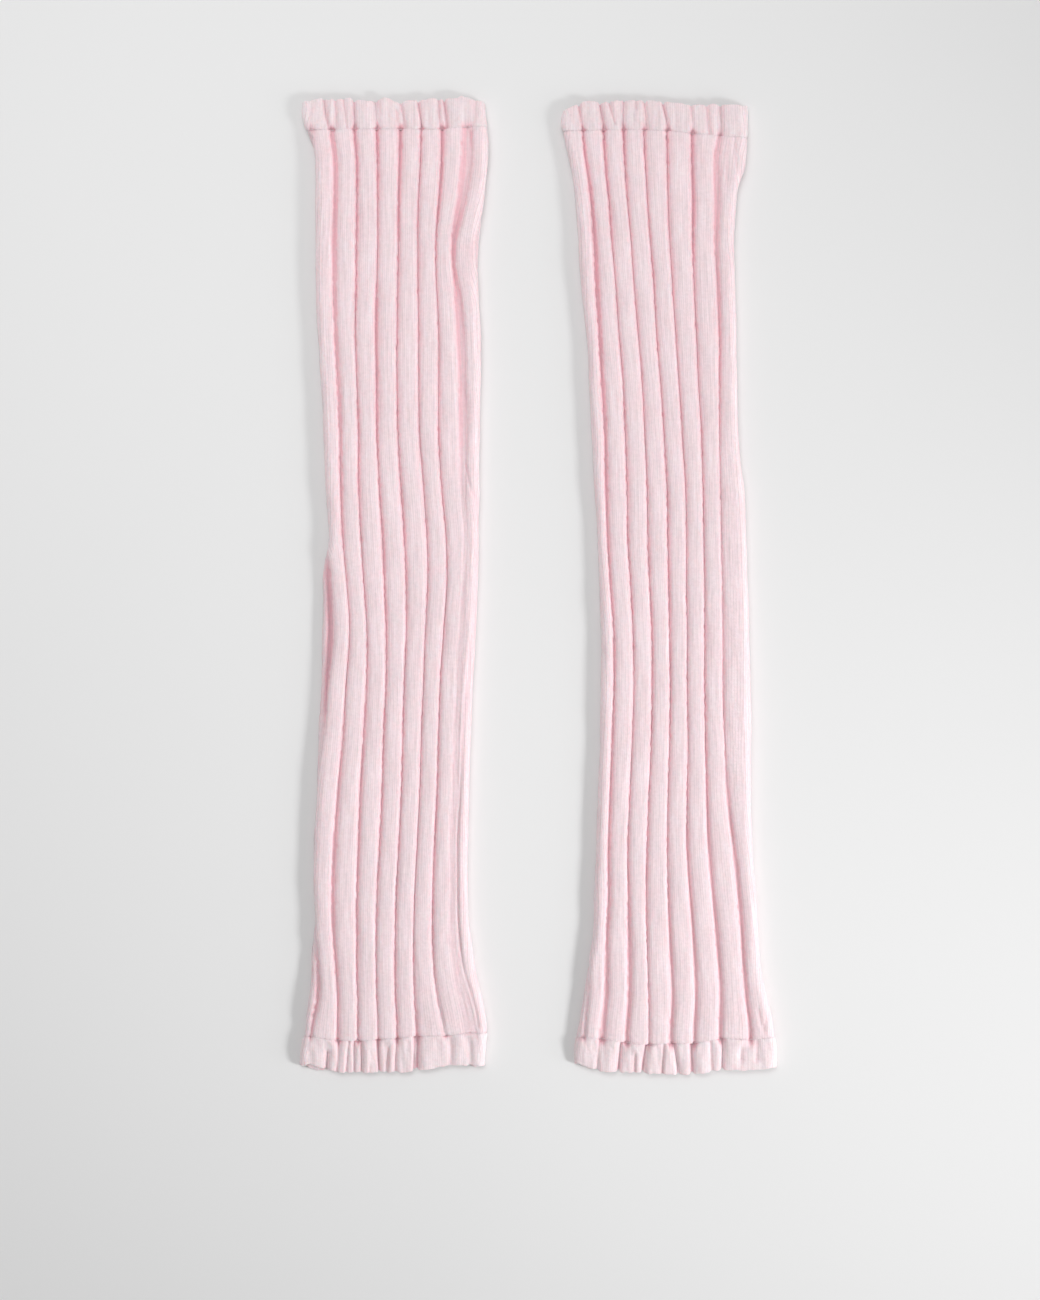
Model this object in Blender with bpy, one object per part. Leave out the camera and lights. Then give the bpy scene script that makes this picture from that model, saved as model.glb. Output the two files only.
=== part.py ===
"""A pair of rib-knit leg warmers, lying flat side by side on a surface.

Each leg warmer is one knitted tube of 16 wide ribs, pressed flat, with a gathered elastic hem at
both ends. Every piece is a cloth wall with an open hollow. X runs across the pair, Y along the legs
towards the upper hems, and Z up. The surface is z = 0. Tables are in millimetres.
"""

import math

import bmesh
import bpy
import numpy as np

MM = 0.001

# Driving sizes of one leg warmer.
LENGTH = 585.0
HEM_HEIGHT = 20.0
RIBS = 16
TOP_RIBS = 8

# Heights in the flattened tube: the web is the line through the bottoms of the grooves.
UPPER_WEB = 5.6
LOWER_WEB = 1.3
TOP_RELIEF = 3.4
SIDE_RELIEF = 2.2
LOWER_RELIEF = 2.0
HEM_RELIEF = 2.9

# Cloth.
GROOVE_WALL = 1.8
RIB_HOLLOW = 0.7
HEM_WALL = 2.9
SEAM_GAP = 0.3
SEAM_REACH = 70.0
HIDDEN_LIP_SHORT = 1.0

# How finely the pieces are sampled.
RIB_STEPS = (0.0, 0.2, 0.5, 0.8)
OUTER_RINGS = 17
INNER_RINGS = 9
LIP_ROLL = 1.4
WIDE_PUFF = 1.2

# Colours of the yarn, as linear red, green, blue and alpha.
RIB_PINK = (0.80, 0.60, 0.64, 1.0)
HEM_PINK = (0.78, 0.57, 0.61, 1.0)

# What each column of the tables below holds. Down is measured from the upper end of the leg, and
# across from the leg's own axis. A rib coordinate counts ribs from the left edge; groove 1 is at 1.
SECTION_COLUMNS = ("down", "left_edge", "groove_1", "groove_3", "groove_5", "groove_7", "right_edge")
EDGE_COLUMNS = ("rib", "lip_down", "seam_down")
FOLD_COLUMNS = ("seam_rib", "lip_rib", "depth")

LEGS = {
    "left": {
        "axis": -86.5,
        "upper_lip": 292.5,
        "sections": (
            (0, -55.2, -37.5, -10.5, 16.0, 43.0, 53.6),
            (20, -53.0, -37.5, -10.5, 16.0, 43.0, 55.4),
            (50, -47.8, -35.5, -10.0, 15.0, 42.0, 55.0),
            (95, -47.5, -36.0, -10.2, 14.0, 35.3, 50.7),
            (140, -46.5, -35.3, -11.0, 14.5, 39.5, 51.5),
            (190, -43.3, -33.0, -10.5, 14.8, 41.0, 51.0),
            (235, -41.3, -32.0, -9.0, 17.5, 41.0, 50.7),
            (268, -40.0, -30.8, -7.0, 19.5, 42.5, 50.6),
            (290, -44.0, -28.8, -6.0, 20.0, 41.5, 50.2),
            (330, -44.0, -27.3, -5.0, 18.2, 39.3, 48.3),
            (390, -46.4, -31.3, -6.7, 16.0, 37.0, 45.3),
            (450, -49.1, -36.0, -9.0, 13.5, 35.5, 43.9),
            (505, -49.2, -36.3, -11.0, 11.5, 36.2, 45.7),
            (540, -51.6, -34.5, -10.7, 12.0, 40.6, 51.8),
            (565, -54.5, -34.3, -10.0, 13.4, 44.5, 55.3),
            (585, -57.3, -34.3, -10.0, 13.5, 44.5, 54.2),
        ),
        "upper_hem": {
            "edges": (
                (0, 1.0, 19.8),
                (1, 0.0, 20.0),
                (2, 0.6, 19.8),
                (3, 1.0, 19.6),
                (4, 2.0, 19.5),
                (5, 1.2, 19.8),
                (6, 0.6, 19.6),
                (7, -2.4, 18.2),
                (8, 1.5, 18.0),
            ),
            "folds": (
                (0.85, 0.60, 1.2),
                (1.25, 1.15, 0.8),
                (1.68, 1.50, 0.9),
                (2.05, 1.97, 1.4),
                (3.05, 3.00, 0.8),
                (3.85, 3.80, 0.7),
                (4.28, 4.10, 0.9),
                (5.05, 4.88, 1.6),
                (5.90, 5.82, 1.0),
                (6.22, 6.15, 1.8),
                (7.30, 7.35, 0.5),
            ),
        },
        "lower_hem": {
            "edges": (
                (0, 580.8, 563.4),
                (1, 585.6, 565.8),
                (2, 585.9, 566.0),
                (3, 585.9, 565.3),
                (4, 585.6, 564.6),
                (5, 583.2, 563.3),
                (6, 580.8, 563.0),
                (7, 580.8, 561.5),
                (8, 580.2, 561.8),
            ),
            "folds": (
                (0.65, 0.58, 1.2),
                (1.05, 0.95, 0.7),
                (1.55, 1.40, 0.8),
                (1.82, 1.80, 1.0),
                (2.16, 2.17, 1.0),
                (3.00, 3.08, 1.6),
                (3.62, 3.42, 0.8),
                (3.98, 3.88, 1.0),
                (4.95, 4.90, 2.0),
                (6.20, 6.15, 0.5),
                (7.00, 6.95, 0.5),
            ),
        },
    },
    "right": {
        "axis": 73.5,
        "upper_lip": 291.3,
        "sections": (
            (0, -60.0, -47.0, -23.0, 3.0, 35.0, 52.0),
            (20, -59.7, -47.0, -22.7, 3.2, 34.7, 51.7),
            (55, -52.0, -42.7, -21.0, 3.9, 33.0, 45.7),
            (110, -48.2, -38.8, -16.5, 6.5, 33.6, 44.2),
            (165, -43.6, -35.6, -12.0, 10.2, 35.0, 45.5),
            (220, -40.8, -33.2, -9.0, 13.8, 35.0, 48.0),
            (275, -37.8, -31.5, -7.6, 15.0, 36.2, 51.3),
            (330, -36.0, -28.3, -5.5, 15.5, 37.0, 53.0),
            (390, -37.1, -29.5, -6.1, 16.0, 38.2, 54.0),
            (450, -39.2, -31.6, -8.5, 15.6, 43.3, 55.0),
            (505, -41.8, -32.8, -8.5, 19.5, 48.3, 58.3),
            (540, -47.6, -33.8, -7.5, 20.7, 50.6, 63.3),
            (565, -51.2, -36.5, -7.5, 19.6, 53.0, 68.5),
            (585, -52.2, -37.0, -7.5, 19.3, 53.3, 69.4),
        ),
        "upper_hem": {
            "edges": (
                (0, 7.5, 19.4),
                (1, 1.6, 19.4),
                (2, 1.4, 19.2),
                (3, 0.6, 19.0),
                (4, 0.6, 19.0),
                (5, 1.5, 19.4),
                (6, 3.6, 21.0),
                (7, 4.5, 22.5),
                (8, 4.0, 23.6),
            ),
            "folds": (
                (1.00, 0.80, 1.0),
                (2.07, 1.82, 1.8),
                (2.62, 2.30, 1.0),
                (3.00, 3.05, 1.0),
                (3.60, 3.62, 0.7),
                (4.10, 4.20, 1.0),
                (5.10, 4.82, 1.6),
                (6.05, 6.00, 0.8),
                (6.65, 6.50, 1.0),
                (7.07, 7.05, 1.2),
            ),
        },
        "lower_hem": {
            "edges": (
                (0, 579.5, 562.6),
                (1, 583.5, 563.8),
                (2, 584.4, 566.0),
                (3, 585.0, 567.2),
                (4, 585.6, 566.4),
                (5, 585.6, 566.4),
                (6, 583.2, 563.6),
                (7, 582.9, 564.2),
                (8, 581.4, 562.6),
            ),
            "folds": (
                (0.87, 0.83, 0.5),
                (1.78, 1.70, 1.6),
                (2.40, 2.36, 0.7),
                (2.87, 2.72, 1.6),
                (3.68, 3.60, 0.7),
                (4.14, 4.34, 1.0),
                (4.86, 4.93, 1.8),
                (5.60, 5.70, 0.7),
                (6.08, 6.08, 1.5),
                (6.74, 6.62, 1.0),
                (7.22, 7.02, 0.9),
            ),
        },
    },
}


def column(rows, names, name):
    return np.array([row[names.index(name)] for row in rows], float)


def smooth_between(x, known_x, known_y):
    """Catmull-Rom curve through the known values, flat beyond its ends."""
    x = np.clip(x, known_x[0], known_x[-1])
    slopes = np.gradient(known_y, known_x)
    i = np.clip(np.searchsorted(known_x, x, side="right") - 1, 0, len(known_x) - 2)
    width = known_x[i + 1] - known_x[i]
    t = (x - known_x[i]) / width
    rise = known_y[i + 1] - known_y[i]
    a = slopes[i] * width - rise
    b = rise - slopes[i + 1] * width
    return known_y[i] + t * rise + t * (1 - t) * ((1 - t) * a + t * b)


def smooth_step(x):
    x = np.clip(x, 0.0, 1.0)
    return x * x * (3 - 2 * x)


def section_at(leg, down):
    """The two outer edges and the seven upper grooves of a leg, across it, at one section."""
    rows = leg["sections"]
    downs = column(rows, SECTION_COLUMNS, "down")

    def at(name):
        return float(smooth_between(down, downs, column(rows, SECTION_COLUMNS, name)))

    known = {k: at(f"groove_{k}") for k in (1, 3, 5, 7)}
    grooves = []
    for groove in range(1, TOP_RIBS):
        place = 0.0
        for k, value in known.items():
            others = [(groove - m) / (k - m) for m in known if m != k]
            place += value * math.prod(others)
        grooves.append(place)
    return at("left_edge"), at("right_edge"), grooves


class Web:
    """The flattened loop through the bottoms of the grooves, measured clockwise from its upper left."""

    def __init__(self, left, right, grooves):
        self.radius = (UPPER_WEB - LOWER_WEB) / 2
        self.middle = (UPPER_WEB + LOWER_WEB) / 2
        self.start = left + SIDE_RELIEF + self.radius
        self.straight = right - SIDE_RELIEF - self.radius - self.start
        self.length = 2 * self.straight + 2 * math.pi * self.radius
        upper = [g - self.start for g in grooves]
        rest = self.length - (upper[-1] - upper[0])
        hidden_ribs = RIBS - (TOP_RIBS - 2)
        hidden = [upper[-1] + rest * k / hidden_ribs for k in range(1, hidden_ribs + 1)]
        self.groove_ribs = np.arange(1, RIBS + 2)
        self.groove_lengths = np.array(upper + hidden)

    def along(self, rib):
        """Length along the web at a rib coordinate: a whole number is the bottom of a groove."""
        wrapped = 1 + (rib - 1) % RIBS
        return float(np.interp(wrapped, self.groove_ribs, self.groove_lengths))

    def point(self, length):
        """The place (x, z) and the outward normal (x, z) at a length along the web."""
        length %= self.length
        arc = math.pi * self.radius
        if length < self.straight:
            return self.start + length, UPPER_WEB, 0.0, 1.0
        length -= self.straight
        if length < arc:
            x, z = math.sin(length / self.radius), math.cos(length / self.radius)
            end = self.start + self.straight
            return end + self.radius * x, self.middle + self.radius * z, x, z
        length -= arc
        if length < self.straight:
            return self.start + self.straight - length, LOWER_WEB, 0.0, -1.0
        length -= self.straight
        x, z = -math.sin(length / self.radius), -math.cos(length / self.radius)
        return self.start + self.radius * x, self.middle + self.radius * z, x, z


def relief_at(normal_z, top_relief):
    """How far the crest of a rib stands out from the web, on top, at the side or underneath."""
    if normal_z >= 0:
        return SIDE_RELIEF + (top_relief - SIDE_RELIEF) * normal_z
    return SIDE_RELIEF + (LOWER_RELIEF - SIDE_RELIEF) * -normal_z


def pushed_out(web, rib, distance):
    """The point at a rib coordinate, moved out from the web, and stopped by the surface below."""
    x, z, normal_x, normal_z = web.point(web.along(rib))
    if normal_z < 0:
        distance = min(distance, -z / normal_z)
    return x + distance * normal_x, z + distance * normal_z, distance


def rib_profile(rib):
    """0 at the bottom of a groove and 1 on the crest of a rib, as a half ellipse."""
    across = 2 * (rib % 1.0) - 1
    return math.sqrt(max(0.0, 1 - across * across))


def hem_edge(hem, rib, name):
    """How far down the lip or the seam is at a rib coordinate. The hidden layer mirrors the upper one."""
    rib %= RIBS
    hidden = rib > TOP_RIBS
    ribs = column(hem["edges"], EDGE_COLUMNS, "rib")
    downs = column(hem["edges"], EDGE_COLUMNS, name)
    down = float(smooth_between(RIBS - rib if hidden else rib, ribs, downs))
    if hidden and name == "lip_down":
        inwards = 1 if down < LENGTH / 2 else -1
        share = min(1.0, rib - TOP_RIBS, RIBS - rib)
        down += inwards * share * HIDDEN_LIP_SHORT
    return down


def ring_points(leg, places):
    """Points in metres from rows of (x across the leg, how far down, height)."""
    return [
        ((leg["axis"] + x) * MM, (leg["upper_lip"] - down) * MM, z * MM)
        for x, down, z in places
    ]


def body_ring(leg, down, inner):
    """One ring of the ribbed tube, on its outside or its inside."""
    web = Web(*section_at(leg, down))
    from_top = smooth_step(1 - (down - HEM_HEIGHT) / SEAM_REACH)
    from_bottom = smooth_step(1 - (LENGTH - HEM_HEIGHT - down) / SEAM_REACH)
    inset = SEAM_GAP / 2 * (float(down == HEM_HEIGHT) - float(down == LENGTH - HEM_HEIGHT))
    places = []
    for k in range(RIBS):
        for step in RIB_STEPS:
            rib = k + step
            relief = relief_at(web.point(web.along(rib))[3], TOP_RELIEF)
            x, z, out = pushed_out(web, rib, relief * rib_profile(rib))
            if inner:
                x, z, _ = pushed_out(web, rib, RIB_HOLLOW * out - GROOVE_WALL)
            shift = from_top * (hem_edge(leg["upper_hem"], rib, "seam_down") - HEM_HEIGHT)
            shift += from_bottom * (hem_edge(leg["lower_hem"], rib, "seam_down") - LENGTH + HEM_HEIGHT)
            places.append((x, down + shift + inset, z))
    return ring_points(leg, places)


def hem_samples(hem):
    """Rows of fold columns round a hem: each fold, and the puffed cloth up to the fold after it."""
    upper = list(hem["folds"])
    hidden = [(RIBS - seam, RIBS - lip, depth) for seam, lip, depth in reversed(upper)]
    folds = upper + hidden
    first_seam, first_lip, first_depth = folds[0]
    following = folds[1:] + [(first_seam + RIBS, first_lip + RIBS, first_depth)]
    rows = []
    for (seam, lip, depth), (next_seam, next_lip, _) in zip(folds, following):
        rows.append((seam, lip, depth))
        crests = 3 if next_seam - seam > WIDE_PUFF else 1
        for k in range(1, crests + 1):
            share = k / (crests + 1)
            crest_seam = seam + share * (next_seam - seam)
            crest_lip = lip + share * (next_lip - lip)
            rows.append((crest_seam % RIBS, crest_lip % RIBS, 0.0))
    return rows


def hem_ring(leg, hem, share, wall):
    """One ring of a hem: share is 0 at the seam and 1 at the lip, wall is 0 outside and 1 inside."""
    upper = hem is leg["upper_hem"]
    seam_down, lip_down = (HEM_HEIGHT, 0.0) if upper else (LENGTH - HEM_HEIGHT, LENGTH)
    web = Web(*section_at(leg, seam_down + share * (lip_down - seam_down)))
    places = []
    for seam_rib, lip_rib, depth in hem_samples(hem):
        turn = (lip_rib - seam_rib + RIBS / 2) % RIBS - RIBS / 2
        rib = seam_rib + share * turn
        relief = relief_at(web.point(web.along(rib))[3], HEM_RELIEF)
        x, z, out = pushed_out(web, rib, relief)
        fold = depth * min(1.0, 0.6 + share) * (1 - wall)
        x, z, _ = pushed_out(web, rib, out - fold - wall * HEM_WALL)
        from_seam = hem_edge(hem, rib, "seam_down") + (-SEAM_GAP if upper else SEAM_GAP) / 2
        down = from_seam + share * (hem_edge(hem, rib, "lip_down") - from_seam)
        places.append((x, down, z))
    return ring_points(leg, places)


def cloth_object(name, rings, material):
    """A closed cloth wall through rings that lead along its outside and back along its inside."""
    mesh = bmesh.new()
    loops = [[mesh.verts.new(point) for point in ring] for ring in rings]
    for loop, following in zip(loops, loops[1:] + loops[:1]):
        for k in range(len(loop)):
            after = (k + 1) % len(loop)
            mesh.faces.new((loop[k], loop[after], following[after], following[k]))
    bmesh.ops.recalc_face_normals(mesh, faces=mesh.faces)
    data = bpy.data.meshes.new(name)
    mesh.to_mesh(data)
    mesh.free()
    data.shade_smooth()
    data.materials.append(material)
    piece = bpy.data.objects.new(name, data)
    bpy.context.scene.collection.objects.link(piece)
    return piece


def make_tube(side, leg):
    outer = np.linspace(HEM_HEIGHT, LENGTH - HEM_HEIGHT, OUTER_RINGS)
    inner = np.linspace(LENGTH - HEM_HEIGHT, HEM_HEIGHT, INNER_RINGS)
    rings = [body_ring(leg, down, False) for down in outer]
    rings += [body_ring(leg, down, True) for down in inner]
    material = knit_material(f"{side} rib knit", RIB_PINK)
    return cloth_object(f"{side}_rib_tube", rings, material)


def make_hem(side, leg, hem_name):
    hem = leg[hem_name]
    near_lip = 1 - LIP_ROLL / HEM_HEIGHT
    stations = ((0.0, 0.0), (0.5, 0.0), (near_lip, 0.0), (1.0, 0.5), (near_lip, 1.0), (0.0, 1.0))
    rings = [hem_ring(leg, hem, share, wall) for share, wall in stations]
    material = knit_material(f"{side} {hem_name} knit", HEM_PINK)
    return cloth_object(f"{side}_{hem_name}", rings, material)


def knit_material(name, colour):
    material = bpy.data.materials.new(name)
    material.use_nodes = True
    shader = material.node_tree.nodes["Principled BSDF"]
    shader.inputs["Base Color"].default_value = colour
    shader.inputs["Roughness"].default_value = 0.9
    shader.inputs["Metallic"].default_value = 0.0
    return material


def main():
    for leftover in list(bpy.data.objects):
        bpy.data.objects.remove(leftover)
    for side, leg in LEGS.items():
        make_tube(side, leg)
        make_hem(side, leg, "upper_hem")
        make_hem(side, leg, "lower_hem")


main()
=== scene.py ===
# %% [markdown]
# # A pair of rib-knit leg warmers, laid flat
#
# Each leg warmer is one knitted tube, about as long as a shin and a knee, with an elastic hem at
# each end. Nobody wears them here, so the tubes have fallen flat: 8 ribs lie on top and 8 below.
# The solids of the six cloth pieces come ready-made in a shared frame, in metres, and this file
# makes the cloth that is seen. It puts a finer shell on every solid, gives the shells their yarn,
# and lights them softly on a pale floor.

# %% Load the frame
import math

import bpy
import numpy as np
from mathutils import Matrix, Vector


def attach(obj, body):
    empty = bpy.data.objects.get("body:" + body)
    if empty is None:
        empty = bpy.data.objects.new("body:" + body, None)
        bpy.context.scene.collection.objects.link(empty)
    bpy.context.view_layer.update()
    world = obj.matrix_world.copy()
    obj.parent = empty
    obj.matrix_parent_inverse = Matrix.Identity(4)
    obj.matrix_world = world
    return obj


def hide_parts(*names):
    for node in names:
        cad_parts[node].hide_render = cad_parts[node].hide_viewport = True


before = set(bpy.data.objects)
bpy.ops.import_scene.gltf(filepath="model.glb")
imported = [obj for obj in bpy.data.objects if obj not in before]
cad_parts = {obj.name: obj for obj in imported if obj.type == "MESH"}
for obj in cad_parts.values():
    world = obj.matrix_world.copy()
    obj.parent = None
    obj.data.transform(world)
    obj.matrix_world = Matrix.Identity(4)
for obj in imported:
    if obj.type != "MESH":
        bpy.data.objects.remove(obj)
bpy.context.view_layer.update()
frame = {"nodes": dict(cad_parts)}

MM = 0.001
print("solids:", ", ".join(frame["nodes"]))

# %% [markdown]
# ## How a knitter would measure a leg warmer
#
# The hems are 20 mm high and the whole leg is 585 mm long. Around the tube there are 16 ribs, with
# a groove between each two. Positions are given in the cloth's own coordinates: how many ribs you
# are from the left edge, and how many millimetres down from the upper end. With these, a rib stays
# a rib wherever the tube bends, and every fold can be placed by its rib.

# %% Sizes shared by both leg warmers
LENGTH = 585.0
HEM_HEIGHT = 20.0
RIBS = 16
TOP_RIBS = 8

# Heights in the flattened tube. The web is the line through the bottoms of the grooves.
UPPER_WEB = 5.6
LOWER_WEB = 1.3
TOP_RELIEF = 3.4
SIDE_RELIEF = 2.2
LOWER_RELIEF = 2.0
HEM_RELIEF = 2.9

# Cloth thickness, and the hair's breadth left between pieces at the seams.
GROOVE_WALL = 1.8
RIB_HOLLOW = 0.7
HEM_WALL = 2.9
SEAM_GAP = 0.06

# One stitch of the knit is a wale wide and a course high.
WALES_PER_RIB = 13
COURSE = 0.85
print("ribs around:", RIBS, " stitches around:", RIBS * WALES_PER_RIB)

# %% [markdown]
# ## Where each leg warmer lies, section by section
#
# Neither tube lies quite straight. One table gives the two outer edges, a second the seven grooves
# seen from above, all in millimetres from the leg's own axis, and a third how wide the two side ribs
# are. A smooth curve joins the rows down the leg. A spline through listed sections suits cloth
# well, because cloth has no corners, and one row can be nudged without disturbing the rest.

# %% Outline of both legs
OUTLINE_COLUMNS = ("down", "left_edge", "right_edge")

LEFT_OUTLINE = (
    (0, -55.2, 53.6),
    (10, -55.4, 54.8),
    (18, -53.6, 55.1),
    (26, -51.0, 56.0),
    (35, -48.6, 56.3),
    (44, -47.8, 55.7),
    (62, -47.8, 53.9),
    (74, -47.7, 52.4),
    (86, -47.6, 51.2),
    (98, -47.5, 50.6),
    (122, -47.2, 50.3),
    (146, -46.0, 51.8),
    (164, -44.8, 51.8),
    (182, -43.6, 51.2),
    (206, -42.7, 50.9),
    (230, -41.5, 50.7),
    (254, -40.2, 50.6),
    (266, -39.7, 50.6),
    (272, -40.6, 50.6),
    (277, -43.2, 50.6),
    (284, -44.4, 50.5),
    (302, -43.9, 49.7),
    (326, -43.9, 48.5),
    (350, -44.8, 47.0),
    (374, -45.7, 45.8),
    (398, -46.6, 45.2),
    (422, -47.5, 44.6),
    (446, -49.0, 44.0),
    (470, -49.1, 43.7),
    (482, -48.5, 43.7),
    (494, -48.6, 44.3),
    (506, -49.3, 45.8),
    (518, -50.2, 47.6),
    (530, -50.6, 49.7),
    (542, -51.7, 52.1),
    (554, -53.5, 54.5),
    (562, -54.0, 55.4),
    (569, -55.4, 55.1),
    (579, -57.1, 54.2),
    (585, -57.3, 54.0),
)

RIGHT_OUTLINE = (
    (0, -59.0, 52.0),
    (4, -59.8, 52.2),
    (12, -60.3, 51.9),
    (20, -59.7, 51.7),
    (26, -57.9, 51.5),
    (33, -56.2, 51.2),
    (40, -54.6, 50.3),
    (45, -53.6, 48.6),
    (50, -52.8, 46.6),
    (60, -51.5, 45.2),
    (72, -50.6, 44.3),
    (90, -49.4, 43.8),
    (110, -48.2, 44.2),
    (132, -45.9, 44.7),
    (156, -44.0, 45.3),
    (180, -42.8, 45.8),
    (204, -41.6, 46.5),
    (216, -41.0, 47.6),
    (228, -40.4, 49.3),
    (240, -39.6, 50.2),
    (264, -38.3, 51.0),
    (300, -36.8, 52.3),
    (336, -35.9, 53.2),
    (360, -36.5, 53.9),
    (384, -36.9, 54.0),
    (408, -37.6, 54.0),
    (432, -38.6, 54.2),
    (456, -39.3, 55.2),
    (480, -40.4, 57.0),
    (504, -41.6, 58.3),
    (516, -43.6, 59.2),
    (528, -45.7, 61.0),
    (540, -47.5, 63.3),
    (552, -49.3, 66.4),
    (560, -50.5, 67.6),
    (567, -51.6, 68.8),
    (576, -52.3, 69.6),
    (585, -52.2, 69.4),
)
print("outline rows:", len(LEFT_OUTLINE), len(RIGHT_OUTLINE))

# %% Grooves of both legs
GROOVE_COLUMNS = ("down", "g1", "g2", "g3", "g4", "g5", "g6", "g7")

LEFT_GROOVES = (
    (0, -37.5, -24.0, -10.5, 3.0, 16.0, 28.5, 43.2),
    (20, -37.5, -24.0, -10.5, 3.5, 16.0, 28.5, 43.4),
    (40, -35.5, -22.5, -10.0, 3.2, 15.5, 28.3, 43.2),
    (60, -35.4, -22.5, -10.0, 2.6, 14.5, 27.0, 40.8),
    (72, -35.6, -22.6, -10.0, 2.5, 14.2, 26.0, 38.2),
    (85, -36.0, -22.8, -10.0, 2.5, 14.0, 25.0, 35.8),
    (97, -36.0, -23.0, -10.2, 2.3, 14.0, 24.8, 35.3),
    (110, -36.0, -23.0, -10.5, 2.0, 14.0, 25.0, 36.5),
    (122, -35.8, -23.3, -10.8, 1.8, 14.2, 25.7, 38.4),
    (140, -35.3, -23.5, -11.0, 1.5, 14.5, 26.5, 39.5),
    (170, -33.8, -22.6, -10.6, 1.5, 14.5, 26.5, 40.6),
    (200, -32.5, -21.5, -10.5, 2.0, 15.0, 26.5, 41.3),
    (235, -32.0, -21.5, -9.0, 4.0, 17.5, 28.3, 41.0),
    (265, -31.0, -20.0, -7.0, 6.0, 19.5, 31.0, 42.7),
    (290, -28.8, -18.5, -6.0, 7.0, 20.0, 31.5, 41.5),
    (320, -26.9, -16.5, -5.0, 7.0, 18.5, 29.5, 39.8),
    (350, -28.8, -16.7, -5.0, 6.0, 17.5, 27.5, 38.3),
    (385, -31.0, -18.5, -6.5, 5.0, 16.0, 26.4, 37.0),
    (420, -34.0, -20.5, -7.5, 4.0, 15.0, 25.5, 36.2),
    (450, -36.0, -21.5, -9.0, 2.5, 13.5, 24.0, 35.5),
    (480, -37.0, -22.5, -10.5, 1.0, 12.0, 23.0, 35.6),
    (505, -36.3, -22.5, -11.0, 0.5, 11.5, 23.0, 36.2),
    (525, -34.8, -22.5, -11.0, 0.4, 11.5, 23.8, 38.0),
    (540, -34.0, -22.0, -10.6, 0.6, 12.0, 25.6, 40.6),
    (555, -34.0, -22.0, -10.0, 1.5, 13.0, 28.5, 43.8),
    (567, -34.0, -22.0, -10.0, 1.5, 13.4, 30.6, 45.4),
    (585, -34.0, -22.0, -10.0, 1.5, 13.5, 31.0, 46.0),
)

RIGHT_GROOVES = (
    (0, -47.0, -35.0, -23.0, -10.5, 3.0, 18.5, 35.0),
    (20, -47.0, -34.6, -22.6, -10.5, 3.3, 18.5, 34.7),
    (32, -46.0, -34.0, -22.2, -10.0, 3.5, 18.5, 33.0),
    (45, -44.0, -33.0, -21.5, -9.3, 3.7, 18.7, 32.8),
    (60, -42.0, -31.5, -20.5, -8.5, 4.0, 19.2, 33.3),
    (85, -40.0, -29.8, -18.2, -6.6, 5.0, 19.0, 32.9),
    (110, -38.8, -27.6, -16.5, -4.6, 6.5, 19.6, 33.8),
    (140, -37.0, -25.5, -14.0, -3.0, 8.5, 21.0, 35.0),
    (170, -35.4, -23.0, -11.5, -0.5, 10.5, 22.2, 35.0),
    (200, -33.6, -21.6, -10.0, 1.5, 12.5, 24.0, 34.8),
    (235, -33.0, -20.6, -8.5, 3.5, 14.5, 25.0, 35.5),
    (265, -32.0, -20.0, -8.0, 4.0, 15.0, 25.5, 36.0),
    (290, -30.5, -18.5, -7.0, 4.5, 15.0, 26.0, 36.6),
    (320, -28.5, -17.0, -5.6, 5.0, 15.5, 26.0, 37.0),
    (350, -28.2, -16.5, -5.4, 5.5, 15.5, 26.0, 37.1),
    (385, -29.4, -17.5, -6.0, 5.0, 16.0, 26.6, 38.0),
    (420, -30.6, -19.0, -7.5, 4.0, 15.5, 27.5, 40.0),
    (450, -31.6, -20.0, -8.5, 3.6, 15.6, 28.6, 43.5),
    (480, -31.5, -19.6, -9.0, 4.4, 17.6, 31.2, 46.6),
    (505, -32.6, -19.4, -8.5, 5.4, 19.5, 33.6, 48.5),
    (525, -33.0, -19.0, -8.0, 6.4, 20.4, 35.0, 49.6),
    (540, -33.4, -19.4, -7.5, 6.8, 20.8, 35.6, 50.9),
    (555, -35.0, -20.6, -7.5, 6.0, 20.0, 35.4, 52.8),
    (585, -36.6, -21.2, -7.5, 5.5, 19.5, 35.0, 53.6),
)

# Width along the cloth of the rib at the left edge and of the rib at the right edge.
SIDE_COLUMNS = ("down", "rib_0", "rib_7")
LEFT_SIDES = (
    (0, 12.3, 13.0),
    (90, 12.3, 13.4),
    (300, 12.3, 12.5),
    (420, 12.3, 12.5),
    (480, 11.3, 13.0),
    (500, 10.9, 13.5),
    (530, 11.5, 14.0),
    (542, 12.0, 14.0),
    (552, 14.0, 13.0),
    (562, 16.0, 12.5),
    (585, 16.5, 12.5),
)
RIGHT_SIDES = (
    (0, 12.3, 17.0),
    (20, 12.3, 17.5),
    (40, 12.3, 17.0),
    (55, 12.2, 13.5),
    (110, 12.2, 12.5),
    (210, 12.0, 13.0),
    (235, 12.0, 15.5),
    (300, 12.0, 17.5),
    (400, 12.0, 17.0),
    (440, 12.0, 14.0),
    (500, 12.0, 13.5),
    (540, 12.0, 15.0),
    (585, 12.0, 16.0),
)

LEGS = {
    "left": {"axis": -86.5, "upper_lip": 292.5, "outline": LEFT_OUTLINE,
             "grooves": LEFT_GROOVES, "sides": LEFT_SIDES},
    "right": {"axis": 73.5, "upper_lip": 291.3, "outline": RIGHT_OUTLINE,
              "grooves": RIGHT_GROOVES, "sides": RIGHT_SIDES},
}
print("groove rows:", {side: len(leg["grooves"]) for side, leg in LEGS.items()})

# %% A smooth curve through a table
def column(rows, names, name):
    return np.array([row[names.index(name)] for row in rows], float)


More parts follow.
